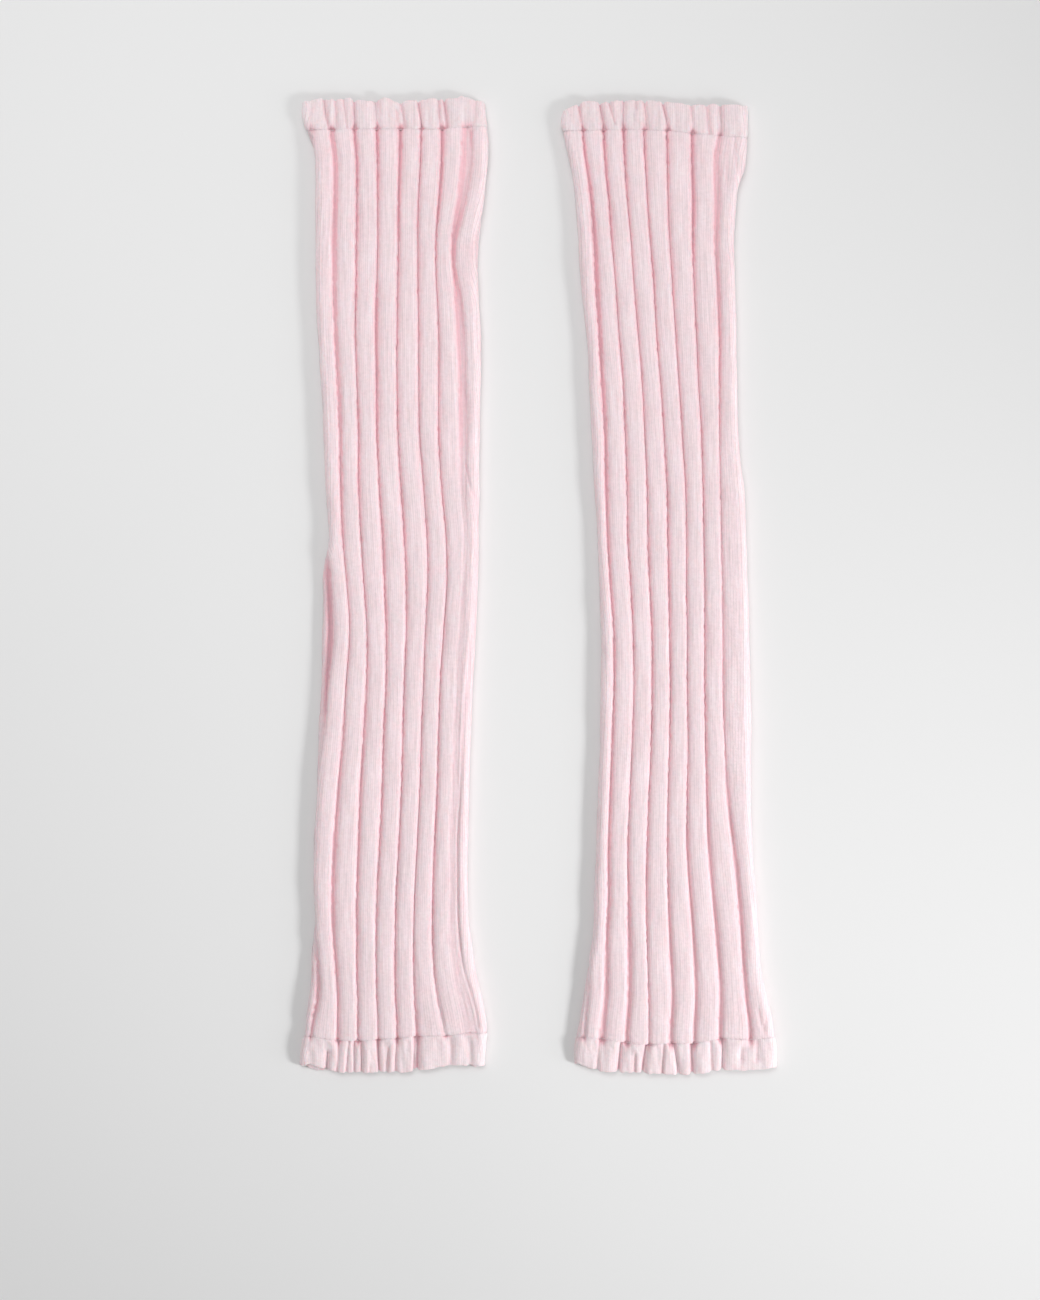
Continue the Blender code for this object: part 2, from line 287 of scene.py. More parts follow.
def smooth_between(x, known_x, known_y):
    """Catmull-Rom curve through the known values, flat beyond its ends."""
    x = np.clip(x, known_x[0], known_x[-1])
    slopes = np.gradient(known_y, known_x)
    i = np.clip(np.searchsorted(known_x, x, side="right") - 1, 0, len(known_x) - 2)
    width = known_x[i + 1] - known_x[i]
    t = (x - known_x[i]) / width
    rise = known_y[i + 1] - known_y[i]
    a = slopes[i] * width - rise
    b = rise - slopes[i + 1] * width
    return known_y[i] + t * rise + t * (1 - t) * ((1 - t) * a + t * b)


def smooth_step(x):
    x = np.clip(x, 0.0, 1.0)
    return x * x * (3 - 2 * x)


def table_at(rows, names, name, down):
    """One column of a table, read as a smooth curve at the given sections."""
    return smooth_between(down, column(rows, names, "down"), column(rows, names, name))


def section_at(leg, down):
    """Both edges, and the seven upper grooves as columns, for an array of sections."""
    grooves = [table_at(leg["grooves"], GROOVE_COLUMNS, f"g{k}", down) for k in range(1, TOP_RIBS)]
    left = table_at(leg["outline"], OUTLINE_COLUMNS, "left_edge", down)
    right = table_at(leg["outline"], OUTLINE_COLUMNS, "right_edge", down)
    return left, right, np.stack(grooves, 1)


for side, leg in LEGS.items():
    left, right, _ = section_at(leg, np.array([LENGTH / 2]))
    print(side, "leg is", round(float(right[0] - left[0]), 1), "mm wide half way down")

# %% [markdown]
# ## A tube pressed flat
#
# Cut across a flattened tube and you see a long slot with round ends. Here the slot runs through
# the bottoms of the grooves, and everything else is measured outwards from it. It could be modelled
# as a squashed cylinder, but then the ribs would bunch at the sides. Walking along the slot by
# length instead keeps each rib its own width, and lets the side ribs turn under in a natural way.

# %% The flattened slot
TINY = 1e-6


class Web:
    """The slot through the bottoms of the grooves at an array of sections."""

    def __init__(self, leg, down):
        left, right, grooves = section_at(leg, down)
        self.radius = (UPPER_WEB - LOWER_WEB) / 2
        self.middle = (UPPER_WEB + LOWER_WEB) / 2
        self.start = (left + SIDE_RELIEF + self.radius)[:, None]
        self.straight = (right - SIDE_RELIEF - self.radius)[:, None] - self.start
        self.length = 2 * self.straight + 2 * math.pi * self.radius
        upper = grooves - self.start
        rib_0 = table_at(leg["sides"], SIDE_COLUMNS, "rib_0", down)[:, None]
        rib_7 = table_at(leg["sides"], SIDE_COLUMNS, "rib_7", down)[:, None]
        first_hidden = upper[:, -1:] + rib_7
        last_hidden = upper[:, :1] + self.length - rib_0
        shares = np.arange(RIBS - TOP_RIBS + 1) / (RIBS - TOP_RIBS)
        hidden = first_hidden + (last_hidden - first_hidden) * shares
        self.grooves = np.concatenate([upper, hidden, upper[:, :1] + self.length], 1)

    def grooves_beside(self, rib):
        """Share of the way across each rib, and where the grooves on its two sides are."""
        wrapped = (rib - 1) % RIBS
        before = np.minimum(np.floor(wrapped).astype(int), RIBS - 1)
        low = np.take_along_axis(self.grooves, before, 1)
        return wrapped - before, low, np.take_along_axis(self.grooves, before + 1, 1)

    def along(self, rib):
        """Length along the slot at rib coordinates: a whole number is the bottom of a groove."""
        share, low, high = self.grooves_beside(rib)
        return low + share * (high - low)

    def rib_width(self, rib):
        _, low, high = self.grooves_beside(rib)
        return high - low

    def point(self, length):
        """The place (x, z) and outward normal (x, z) at lengths along the slot."""
        length = length % self.length
        arc = math.pi * self.radius
        past_top = length - self.straight
        past_side = past_top - arc
        past_bottom = past_side - self.straight
        on_top = past_top < 0
        on_right = ~on_top & (past_side < 0)
        on_bottom = ~on_top & ~on_right & (past_bottom < 0)
        angle = np.select([on_top, on_right, on_bottom], [0.0, past_top / self.radius, math.pi],
                          math.pi + past_bottom / self.radius)
        centre = np.select([on_top, on_right, on_bottom],
                           [self.start + length, self.start + self.straight,
                            self.start + self.straight - past_side], self.start + 0 * length)
        normal_x = np.where(on_bottom | on_top, 0.0, np.sin(angle))
        normal_z = np.cos(angle)
        x = centre + self.radius * normal_x
        z = self.middle + self.radius * normal_z
        return x, z, normal_x, normal_z


for side, leg in LEGS.items():
    web = Web(leg, np.array([LENGTH / 2]))
    print(side, "slot is", round(float(web.length[0, 0]), 1), "mm round, half way down")

# %% Height of the cloth over the slot
def relief_at(normal_z, top_relief):
    """How far a crest stands out from the slot, on top, at the side or underneath."""
    upper = SIDE_RELIEF + (top_relief - SIDE_RELIEF) * normal_z
    lower = SIDE_RELIEF + (LOWER_RELIEF - SIDE_RELIEF) * -normal_z
    return np.where(normal_z >= 0, upper, lower)


def held_by_floor(distance, z, normal_z):
    """Cloth that would sink into the floor stops on it."""
    room = np.where(normal_z < 0, -z / np.minimum(normal_z, -TINY), np.inf)
    return np.minimum(distance, room)


print("slot is", UPPER_WEB - LOWER_WEB, "mm high, and crests reach", UPPER_WEB + TOP_RELIEF, "mm")

# %% [markdown]
# ## Ribs that are never quite alike
#
# Machine ribs are regular, but gravity and handling are not. A rib leans a little to one side for a
# hand's breadth and then back, puffs up and sinks, and its grooves open and close. A handful of
# slow waves per rib gives that unevenness. Their phases come from a fixed formula and not from a
# random draw, so the cloth is the same each time the file runs.

# %% Slow waves, one set for each rib
RIB_STEP = 12.9898
SALT_STEP = 78.233
SCATTER = 43758.5453


def phase(rib, salt):
    """An angle that looks random but is always the same for the same rib and salt."""
    return 2 * math.pi * ((np.sin(rib * RIB_STEP + salt * SALT_STEP) * SCATTER) % 1.0)


def wander(along, rib, lengths, salt):
    """A smooth wave between about -1 and 1, down each rib or round a hem, with these wavelengths.

    The salt gives each use its own phases. Constants named WAVES hold the lengths and the salt.
    """
    waves = [np.sin(2 * math.pi * along / length + phase(rib, salt + n))
             for n, length in enumerate(lengths)]
    return sum(waves) / math.sqrt(len(waves))


# Width of each groove where it was looked up, in millimetres, and how much it wavers between.
GAP_COLUMNS = ("down", "g1", "g2", "g3", "g4", "g5", "g6")
SIDE_GAP_COLUMNS = ("down", "gap")
HIDDEN_GAP = 1.0
GAP_WAVER = 0.2
GAP_WAVES = (37.0, 23.0, 13.0), 5
NARROWEST_GAP = 0.25

LEGS["left"]["gaps"] = (
    (23, 2.6, 1.5, 1.4, 1.9, 0.6, 1.6),
    (60, 2.6, 0.9, 0.6, 1.4, 0.3, 1.2),
    (95, 2.6, 0.9, 0.4, 0.7, 0.3, 0.4),
    (130, 2.3, 0.7, 1.2, 0.5, 0.5, 0.3),
    (167, 2.2, 0.4, 1.4, 0.4, 0.4, 0.3),
    (215, 1.9, 1.0, 0.8, 0.8, 0.3, 0.6),
    (275, 0.5, 0.5, 1.2, 1.0, 0.7, 0.3),
    (320, 0.3, 0.5, 0.8, 0.5, 0.3, 0.3),
    (370, 0.6, 1.0, 0.9, 0.7, 0.4, 0.5),
    (455, 2.3, 1.3, 0.9, 0.7, 0.3, 1.1),
    (520, 1.8, 1.1, 0.6, 1.0, 0.6, 0.9),
    (560, 1.4, 0.8, 0.4, 1.0, 1.2, 1.3),
)
LEGS["left"]["side_gaps"] = {
    0: ((20, 1.0), (262, 1.0), (274, 4.4), (314, 5.0), (336, 4.8), (350, 3.6), (374, 2.2),
        (398, 1.0), (490, 1.0), (505, 1.7), (540, 2.2), (553, 2.0), (562, 1.0)),
    7: ((20, 6.4), (45, 7.0), (58, 6.4), (74, 4.6), (86, 3.0), (97, 2.2), (110, 2.6), (122, 4.0),
        (140, 4.8), (167, 4.6), (195, 5.0), (215, 4.4), (232, 3.4), (250, 2.8), (275, 2.6),
        (300, 2.6), (347, 3.2), (400, 3.6), (420, 4.4), (450, 5.4), (480, 5.8), (505, 6.0),
        (525, 6.2), (540, 6.6), (555, 7.5), (565, 8.5)),
}
LEGS["right"]["gaps"] = (
    (22, 0.9, 1.3, 1.3, 0.9, 1.0, 1.2),
    (60, 1.8, 0.9, 0.5, 0.4, 0.4, 1.6),
    (94, 2.2, 0.3, 0.3, 0.6, 0.3, 1.0),
    (166, 1.9, 0.5, 0.3, 0.4, 0.4, 0.3),
    (220, 1.8, 0.8, 0.5, 0.6, 0.3, 0.5),
    (274, 1.2, 0.7, 0.7, 1.0, 0.3, 0.4),
    (346, 1.0, 0.5, 1.0, 0.8, 0.4, 0.7),
    (400, 1.2, 0.5, 0.6, 0.6, 0.6, 1.0),
    (454, 1.8, 0.9, 0.9, 0.7, 1.3, 1.7),
    (520, 2.4, 2.6, 0.6, 1.8, 1.8, 2.2),
    (559, 3.5, 2.2, 0.5, 2.2, 1.8, 2.2),
)
LEGS["right"]["side_gaps"] = {
    0: ((20, 1.0), (495, 1.0), (515, 3.4), (540, 4.2), (562, 4.2)),
    7: ((20, 2.4), (35, 3.2), (60, 3.5), (85, 2.6), (110, 2.0), (145, 1.4), (180, 0.8), (216, 0.3),
        (252, 0.6), (300, 1.0), (336, 1.4), (362, 1.3), (385, 0.5), (420, 1.7), (445, 2.1),
        (562, 2.2)),
}


def groove_gaps(leg, down):
    """How far each groove stands open, in columns for grooves 0 to 16."""
    gaps = np.full((len(down), RIBS + 1), HIDDEN_GAP)
    for name in GAP_COLUMNS[1:]:
        gaps[:, int(name[1:])] = table_at(leg["gaps"], GAP_COLUMNS, name, down)
    for groove, rows in leg["side_gaps"].items():
        gaps[:, groove] = table_at(rows, SIDE_GAP_COLUMNS, "gap", down)
    ripple = wander(down[:, None], np.arange(RIBS + 1.0), *GAP_WAVES)
    gaps = np.maximum(gaps + GAP_WAVER * ripple, NARROWEST_GAP)
    gaps[:, RIBS] = gaps[:, 0]
    return gaps


tube_downs = np.arange(HEM_HEIGHT, LENGTH - HEM_HEIGHT)
for side, leg in LEGS.items():
    print(side, "grooves open", round(float(groove_gaps(leg, tube_downs).mean()), 2), "mm")

# %% [markdown]
# ## The round of a rib
#
# Seen from its end a rib is a low pillow, broad on top and steep at the grooves, and it leans a
# little to the right. A rounded box between an ellipse and a rectangle gives that. The two sides of a
# groove are never parallel, so each side has its own small waver, and where the cloth has been pulled
# sideways the groove is only a shallow trough. Sample points crowd towards the grooves, because that
# is where the cloth turns most.

# %% Shallow grooves
# Where a groove is a shallow trough: how far its floor stands up, as a share of the rib's height.
RISE_COLUMNS = ("down", "rise")

LEGS["left"]["rises"] = {
    1: ((20, 0.15), (215, 0.12), (275, 0.0)),
    6: ((20, 0.0), (520, 0.0), (550, 0.3), (565, 0.6)),
    7: ((20, 0.4), (60, 0.3), (85, 0.1), (105, 0.1), (130, 0.25), (215, 0.45), (245, 0.75),
        (300, 0.8), (420, 0.7), (560, 0.75)),
}
LEGS["right"]["rises"] = {
    0: ((20, 0.0), (500, 0.0), (520, 0.2), (560, 0.2)),
    7: ((20, 0.3), (70, 0.25), (110, 0.15), (300, 0.25), (420, 0.1), (500, 0.0)),
}


def groove_rises(leg, down):
    """How far the floor of each groove stands up, in columns for grooves 0 to 16."""
    rises = np.zeros((len(down), RIBS + 1))
    for groove, rows in leg["rises"].items():
        rises[:, groove] = np.maximum(table_at(rows, RISE_COLUMNS, "rise", down), 0)
    rises[:, RIBS] = rises[:, 0]
    return rises


for side, leg in LEGS.items():
    fullest = float(groove_rises(leg, tube_downs).max())
    print(side, "shallowest groove is filled to", round(fullest, 2))

# %% Rib profile
PILLOW_POWER = 2.9
LEAN = -0.12
LEAN_WAVER = 0.12
LEAN_WAVES = (150.0, 71.0, 43.0), 11
EDGE_WAVER = 0.15
LEFT_WAVES = (4.3, 6.9, 10.7), 31
RIGHT_WAVES = (4.9, 7.7, 9.1), 37
NARROWEST_HALF_GAP = 0.1
NARROWEST_RIB = 1.0
TOP_STEPS = 14
SIDE_STEPS = 22
HIDDEN_STEPS = 8
EVEN_SHARE = 0.45


def rib_profile(leg, web, down, rib):
    """0 in a groove and 1 on a crest, -1 to 1 across the rib, and the rise of the groove before."""
    gaps, rises = groove_gaps(leg, down), groove_rises(leg, down)
    index = np.floor(rib).astype(int) % RIBS
    width = web.rib_width(rib)
    across = (rib % 1.0) * width
    row = down[:, None]
    halves = []
    for groove, waves in ((0, LEFT_WAVES), (1, RIGHT_WAVES)):
        waver = EDGE_WAVER * wander(row, 2 * index + groove, *waves)
        half = np.take_along_axis(gaps, index + groove, 1) / 2 + waver
        halves.append(np.maximum(half, NARROWEST_HALF_GAP))
    place = 2 * (across - halves[0]) / np.maximum(width - halves[0] - halves[1], NARROWEST_RIB) - 1
    inside = np.clip(1 - place * place, 0.0, 1.0)
    lean = LEAN + LEAN_WAVER * wander(row, index, *LEAN_WAVES)
    leaned = np.clip(np.abs(place + lean * inside), 0.0, 1.0)
    pillow = (1 - leaned ** PILLOW_POWER) ** (1 / PILLOW_POWER)
    left_rise = np.take_along_axis(rises, index, 1)
    rise = np.where(place < 0, left_rise, np.take_along_axis(rises, index + 1, 1))
    return rise + (1 - rise) * pillow, np.clip(place, -1, 1), left_rise


def rib_samples():
    """Rib coordinates round the tube, close together at the grooves and finest at the right edge."""
    samples = []
    for rib in range(RIBS):
        steps = HIDDEN_STEPS if rib > TOP_RIBS else SIDE_STEPS if rib == TOP_RIBS - 1 else TOP_STEPS
        even = np.arange(steps) / steps
        crowded = (1 - np.cos(np.pi * even)) / 2
        samples.append(rib + EVEN_SHARE * even + (1 - EVEN_SHARE) * crowded)
    return np.concatenate(samples)


def from_groove(web, rib):
    """Distance along the cloth to the nearest groove."""
    share = rib % 1.0
    return np.minimum(share, 1 - share) * web.rib_width(rib)


around = rib_samples()
print("points round a tube:", len(around))

# %% [markdown]
# ## Creases that cross the ribs
#
# Here and there the cloth has been pinched and a fine crease runs down or across it. Each is a short
# path of places, down the leg and sideways from its axis, with a depth and a width after it. A crease
# fades in and out at the ends of its path, and where the cloth turns under at the sides.

# %% Creases
CREASE_COLUMNS = ("down", "x")
CREASE_LEAD = 2.0
CREASE_FADE = 6.0
CREASE_ROUND = 0.5

LEGS["left"]["creases"] = (
    (((218, 42.6), (231, 44.6), (242, 47.4), (252, 48.1), (275, 47.6), (300, 47.0), (326, 45.2),
      (350, 43.1), (374, 41.3), (398, 40.3), (422, 39.3), (446, 38.0), (470, 38.0), (494, 38.3),
      (506, 39.2), (518, 40.6), (530, 42.9), (542, 46.3), (553, 49.0), (563, 50.5)), 0.9, 0.6),
    (((22, -49.2), (28, -48.6), (34, -47.0), (39, -45.6)), 0.8, 0.9),
    (((20, 43.4), (23, 45.4), (28, 45.8), (34, 46.2)), 0.9, 0.8),
    (((19, 50.2), (21, 48.4), (24, 46.6), (27, 45.9)), 0.7, 0.8),
    (((86, 48.6), (94, 48.8), (104, 48.4)), 0.5, 0.8),
    (((276, -41.6), (290, -41.0), (320, -39.4), (350, -41.2), (372, -42.6)), 1.2, 1.7),
)
LEGS["right"]["creases"] = (
    (((20, 43.5), (30, 44.0), (40, 45.2), (47, 46.3)), 0.7, 0.9),
    (((20, 39.8), (34, 39.4), (52, 38.6)), 0.4, 1.1),
    (((545, 57.5), (552, 58.8), (560, 60.5)), 0.8, 1.0),
    (((549, 63.2), (556, 62.0), (562, 61.5)), 0.6, 0.9),
)


def crease_depth(leg, row, x, normal_z):
    """How far the creases press the upper layer in, in millimetres."""
    pressed = np.zeros(x.shape)
    for path, depth, width in leg["creases"]:
        middle = table_at(path, CREASE_COLUMNS, "x", row)
        begun = smooth_step((row - path[0][0] + CREASE_LEAD) / CREASE_FADE)
        left_to_go = smooth_step((path[-1][0] + CREASE_LEAD - row) / CREASE_FADE)
        pressed = pressed + depth * begun * left_to_go * np.exp(-((x - middle) / width) ** 2)
    return pressed * np.clip(normal_z + CREASE_ROUND, 0, 1)


print("creases:", {side: len(leg["creases"]) for side, leg in LEGS.items()})

# %% [markdown]
# ## Hem edges and gathers
#
# An elastic hem is a casing, folded over and sewn down. The elastic pulls it in, so the lip is
# scalloped and short puckers run between the seam and the lip. Each pucker here is listed: the rib
# where it leaves the seam, the rib where it meets the lip, and how deep and wide it is. A pucker
# that stops short also says where it starts and ends, from 0 at the seam to 1 at the lip. A cloth
# simulation could gather a hem too, but it would put the puckers where it likes.

# %% Lips, seams and puckers
# An edge row gives the rib, the lip and the seam. A fold row gives a pucker as told above.
EDGE_COLUMNS = ("rib", "lip_down", "seam_down")
WHOLE_WAY = (0.0, 1.0)
HIDDEN_LIP_SHORT = 1.4
HIDDEN_LIP_REACH = 0.25

LEGS["left"]["upper_hem"] = {
    "edges": (
        (0, 2.0, 19.8),
        (0.4, 0.5, 19.9),
        (1, 1.3, 20.0),
        (1.7, 0.2, 19.9),
        (2, 1.1, 19.8),
        (3, 1.7, 19.6),
        (3.3, 0.2, 19.6),
        (3.9, 3.0, 19.5),
        (4.5, 1.7, 19.6),
        (5, 1.7, 19.8),
        (5.5, 0.7, 19.8),
        (6, 0.4, 19.6),
        (6.5, 0.7, 19.0),
        (6.8, -0.4, 18.5),
        (7.1, 0.2, 18.2),
        (7.4, 1.6, 18.1),
        (8, 1.3, 18.0),
    ),
    "folds": (
        (0.85, 0.60, 1.3, 1.3),
        (1.22, 1.15, 1.0, 1.1),
        (1.68, 1.50, 1.0, 1.1),
        (2.05, 1.97, 1.5, 1.3),
        (3.05, 2.92, 0.9, 1.6),
        (3.35, 3.00, 0.5, 1.4, 0.3, 1.0),
        (3.87, 3.84, 0.8, 1.3, 0.0, 0.9),
        (4.24, 4.05, 1.1, 1.4),
        (5.05, 4.86, 1.8, 1.0),
        (5.90, 5.84, 1.1, 1.2),
        (6.22, 6.08, 2.0, 1.1),
        (7.30, 7.42, 0.5, 3.0),
    ),
}
LEGS["left"]["lower_hem"] = {
    "edges": (
        (0, 580.8, 563.4),
        (1, 585.6, 565.8),
        (2, 585.9, 566.0),
        (3, 585.9, 565.3),
        (4, 585.6, 564.6),
        (5, 584.8, 563.3),
        (6, 581.6, 563.0),
        (7, 581.4, 561.5),
        (8, 582.2, 561.8),
    ),
    "folds": (
        (0.65, 0.58, 1.3, 1.8, 0.25, 1.0),
        (1.05, 0.95, 0.8, 1.3),
        (1.55, 1.40, 1.0, 1.3),
        (1.82, 1.80, 1.2, 1.1),
        (2.16, 2.17, 1.2, 1.1),
        (2.60, 2.58, 0.5, 1.2, 0.6, 1.0),
        (3.00, 3.05, 2.0, 1.0),
        (3.60, 3.42, 0.8, 1.5, 0.1, 1.0),
        (3.98, 3.88, 1.0, 1.8),
        (4.88, 4.82, 1.3, 1.0),
        (5.05, 4.98, 1.8, 1.4),
        (6.20, 6.15, 0.5, 3.0),
        (7.00, 6.95, 0.5, 3.0, 0.1, 1.0),
    ),
}
LEGS["right"]["upper_hem"] = {
    "edges": (
        (0, 7.5, 19.4),
        (1, 1.6, 19.4),
        (2, 1.4, 19.2),
        (3, 0.6, 19.0),
        (4, 0.6, 19.0),
        (5, 1.5, 19.4),
        (6, 3.2, 21.0),
        (7, 2.9, 22.5),
        (8, 4.0, 23.6),
    ),
    "folds": (
        (1.00, 0.80, 1.4, 1.2),
        (2.07, 1.84, 2.0, 1.1),
        (2.62, 2.30, 1.0, 1.4, 0.1, 1.0),
        (2.98, 3.05, 1.2, 1.2),
        (3.60, 3.62, 0.8, 1.2, 0.55, 1.0),
        (4.14, 4.04, 1.2, 1.2),
        (5.10, 4.84, 1.8, 1.1),
        (6.05, 5.94, 0.9, 1.6),
        (6.62, 6.52, 1.1, 1.4),
        (7.07, 7.03, 1.3, 1.3),
    ),
}
LEGS["right"]["lower_hem"] = {
    "edges": (
        (0, 579.5, 562.6),
        (1, 583.5, 563.8),
        (2, 584.4, 566.0),
        (3, 585.0, 567.2),
        (4, 585.6, 566.4),
        (5, 585.6, 566.4),
        (6, 583.2, 563.6),
        (7, 582.9, 564.2),
        (8, 581.4, 562.6),
    ),
    "folds": (
        (0.87, 0.83, 0.7, 2.0),
        (1.78, 1.70, 1.8, 1.1),
        (2.40, 2.36, 0.8, 1.4, 0.2, 1.0),
        (2.87, 2.72, 1.8, 1.1),
        (3.68, 3.60, 0.9, 1.3),
        (4.14, 4.34, 1.2, 1.4),
        (4.86, 4.93, 1.8, 1.8),
        (5.60, 5.70, 0.8, 1.5),
        (6.08, 6.08, 1.4, 1.4),
        (6.72, 6.66, 0.8, 2.2, 0.1, 0.85),
        (7.25, 7.20, 0.6, 2.5, 0.0, 0.85),
    ),
}


def hem_edge(hem, rib, name):
    """How far down the lip or the seam is. The hidden layer mirrors the upper one.

    The hidden lip is a little short, and reaches that within a quarter of a rib from each side.
    """
    rib = rib % RIBS
    hidden = rib > TOP_RIBS
    ribs = column(hem["edges"], EDGE_COLUMNS, "rib")
    downs = column(hem["edges"], EDGE_COLUMNS, name)
    down = smooth_between(np.where(hidden, RIBS - rib, rib), ribs, downs)
    if name == "lip_down":
        inwards = 1 if downs[0] < LENGTH / 2 else -1
        from_side = np.minimum(rib - TOP_RIBS, RIBS - rib)
        share = np.clip(from_side / HIDDEN_LIP_REACH, 0.0, 1.0)
        down = down + inwards * share * HIDDEN_LIP_SHORT
    return down


for side, leg in LEGS.items():
    print(side, "has", len(leg["upper_hem"]["folds"]), "upper and",
          len(leg["lower_hem"]["folds"]), "lower puckers on top")

# %% [markdown]
# ## A shell with two sides
#
# Real knit has a thickness, and the open ends of a leg warmer show it. So every shell is closed:
# its rings lead along the outside, turn over, and come back along the inside. The mesh also carries
# two helpers for the yarn material: a UV map that counts stitches, and a mask of painted shade that
# is highest where a point lies deep in a groove or pucker.

# %% Mesh from rings
RIB_PITCH = 12.0
PROFILE_STEPS = 200


def put_in_scene(name, data):
    """An object of that name, made of a mesh, a lamp or a camera."""
    thing = bpy.data.objects.new(name, data)
    bpy.context.scene.collection.objects.link(thing)
    return thing


def cloth_shell(name, points, wales, courses, painted_shade, cut_rings):
    """Joins rings of points (ring, place round it, xyz) in millimetres into one closed shell.

    The cloth is cut square along cut_rings, so no shading is blended across them.
    """
    rings, count, _ = points.shape
    ring, place = np.meshgrid(np.arange(rings), np.arange(count), indexing="ij")
    next_ring, next_place = (ring + 1) % rings, (place + 1) % count
    corners = np.stack([ring * count + place, next_ring * count + place,
                        next_ring * count + next_place, ring * count + next_place], -1)
    mesh = bpy.data.meshes.new(name)
    mesh.from_pydata((points.reshape(-1, 3) * MM).tolist(), [], corners.reshape(-1, 4).tolist())
    mesh.shade_smooth()
    ends = np.empty(2 * len(mesh.edges), np.int32)
    mesh.edges.foreach_get("vertices", ends)
    end_rings = ends.reshape(-1, 2) // count
    cut = (end_rings[:, 0] == end_rings[:, 1]) & np.isin(end_rings[:, 0], np.array(cut_rings) % rings)
    mesh.attributes.new("sharp_edge", "BOOLEAN", "EDGE").data.foreach_set("value", cut)
    u = np.stack([wales[place], wales[place], wales[place + 1], wales[place + 1]], -1)
    v = np.stack([courses[ring], courses[ring + 1], courses[ring + 1], courses[ring]], -1)
    knit = mesh.uv_layers.new(name="knit")
    knit.uv.foreach_set("vector", np.stack([u, v], -1).astype(np.float32).ravel())
    # The painted-shade mask goes on every point.
    depth = mesh.attributes.new("painted_shade", "FLOAT", "POINT")
    depth.data.foreach_set("value", painted_shade.astype(np.float32).ravel())
    print(name, "has", 2 * len(mesh.polygons), "triangles")
    return put_in_scene(name, mesh)


def stitch_counts(rib):
    """Wales from the first rib on, by the length of cloth over a round rib, once round."""
    fine = np.linspace(0, 1, PROFILE_STEPS)
    profile = np.sqrt(np.clip(1 - (2 * fine - 1) ** 2, 0, 1)) * TOP_RELIEF
    steps = np.hypot(np.diff(fine) * RIB_PITCH, np.diff(profile))
    share = np.concatenate([[0], np.cumsum(steps)]) / steps.sum()
    whole = np.append(rib, rib[0] + RIBS)
    return WALES_PER_RIB * (np.floor(whole) + np.interp(whole % 1.0, fine, share))


print("stitches over one rib:", round(float(np.ptp(stitch_counts(np.array([0.0, 0.5])))), 1) / RIBS)

# %% [markdown]
# ## The ribbed tube
#
# This is the long body between the hems. It could be a plane with a displacement texture, but real
# points let the ribs shade each other and show a true outline from the side. The ribs run into the
# hem almost without a step, but every groove on top ends in a small pit, wider than the groove, where
# the hem's stitching pulls the two ribs together. At the sides of the tube the cloth is stretched
# round the bend, so its grooves and pits are shallower there, and the painted shade in them is paler.
# Towards the lower end the cloth is stretched wider and the ribs lie up to a quarter lower. There
# the painted shade in the grooves grows paler, while painted shade deepens the pink of the right
# edge.

# %% Rows and seams of the tube
SEAM_ZONE = 7.5
SEAM_ZONE_STEP = 0.5
ROW_STEP = 1.25
INNER_ROWS = 40

# How far up and down the leg a sloping seam shifts the cloth, then dips and pits at the seam.
SEAM_REACH = 70.0
CREST_DIP = 0.2
DIP_REACH = 1.2
PIT_DEPTH = 1.1
PIT_HEIGHT = 0.8
PIT_WIDTH = 2.1
SIDE_PIT = 0.3


def body_rows():
    """Sections down the outside of the tube: fine by the seams, coarser between them."""
    first, last = HEM_HEIGHT, LENGTH - HEM_HEIGHT
    fine = np.arange(0.0, SEAM_ZONE, SEAM_ZONE_STEP)
    between = np.arange(first + SEAM_ZONE, last - SEAM_ZONE, ROW_STEP)
    return np.concatenate([first + fine, between, (last - fine)[::-1]])


def seam_pit(from_seam, web, rib):
    """The pinch where a groove meets the seam, wider than the groove and only a stitch high.

    It is slight at the outermost grooves and underneath.
    """
    spread = (from_groove(web, rib) / PIT_WIDTH) ** 2
    groove = np.round(rib) % RIBS
    strength = np.where((groove >= 1) & (groove < TOP_RIBS - 1), 1.0, SIDE_PIT)
    return strength * PIT_DEPTH * np.exp(-(from_seam / PIT_HEIGHT) ** 2 - spread)


def seam_shift(leg, down, rib):
    """How far the sections move along the leg so that the tube's ends follow its seams."""
    from_top = smooth_step(1 - (down - HEM_HEIGHT) / SEAM_REACH)
    from_bottom = smooth_step(1 - (LENGTH - HEM_HEIGHT - down) / SEAM_REACH)
    shift = from_top * (hem_edge(leg["upper_hem"], rib, "seam_down") - HEM_HEIGHT)
    return shift + from_bottom * (hem_edge(leg["lower_hem"], rib, "seam_down") - LENGTH + HEM_HEIGHT)


print("rows down a tube:", len(body_rows()))

# %% Tube surface
# How crests waver, side ribs fill out, ribs sink down the leg, and yarn stands off the surface.
CREST_WAVER = 0.07
CREST_WAVES = (118.0, 61.0, 34.0), 23
SIDE_FILL = 0.5
LOWER_SINK = 0.28
FUZZ = 0.05
fuzz_draw = np.random.default_rng(7)

# Painted shade, darker and pinker, where 1 is the bottom of a groove: on the flanks, most on the
# left flank away from the lamps, in creases and on the right edge. It is paler at the sides and
# lower down.
FLANK_PAINTED_SHADE = 0.17
LEFT_FLANK_PAINTED_SHADE = 0.05
LEFT_FLANK_SPAN = (-0.05, -0.95)
SIDE_PALER = 0.8
LOWER_PAINTED_SHADE_FADE = 0.4
CREASE_PAINTED_SHADE = 0.3
RIGHT_EDGE_PAINTED_SHADE = 0.25


def fuzz(shape):
    """A seeded unevenness of the knit, a little longer down the leg than across it."""
    rough = fuzz_draw.normal(size=shape)
    return FUZZ * (rough + np.roll(rough, 1, 0) + np.roll(rough, 2, 0)) / math.sqrt(3)


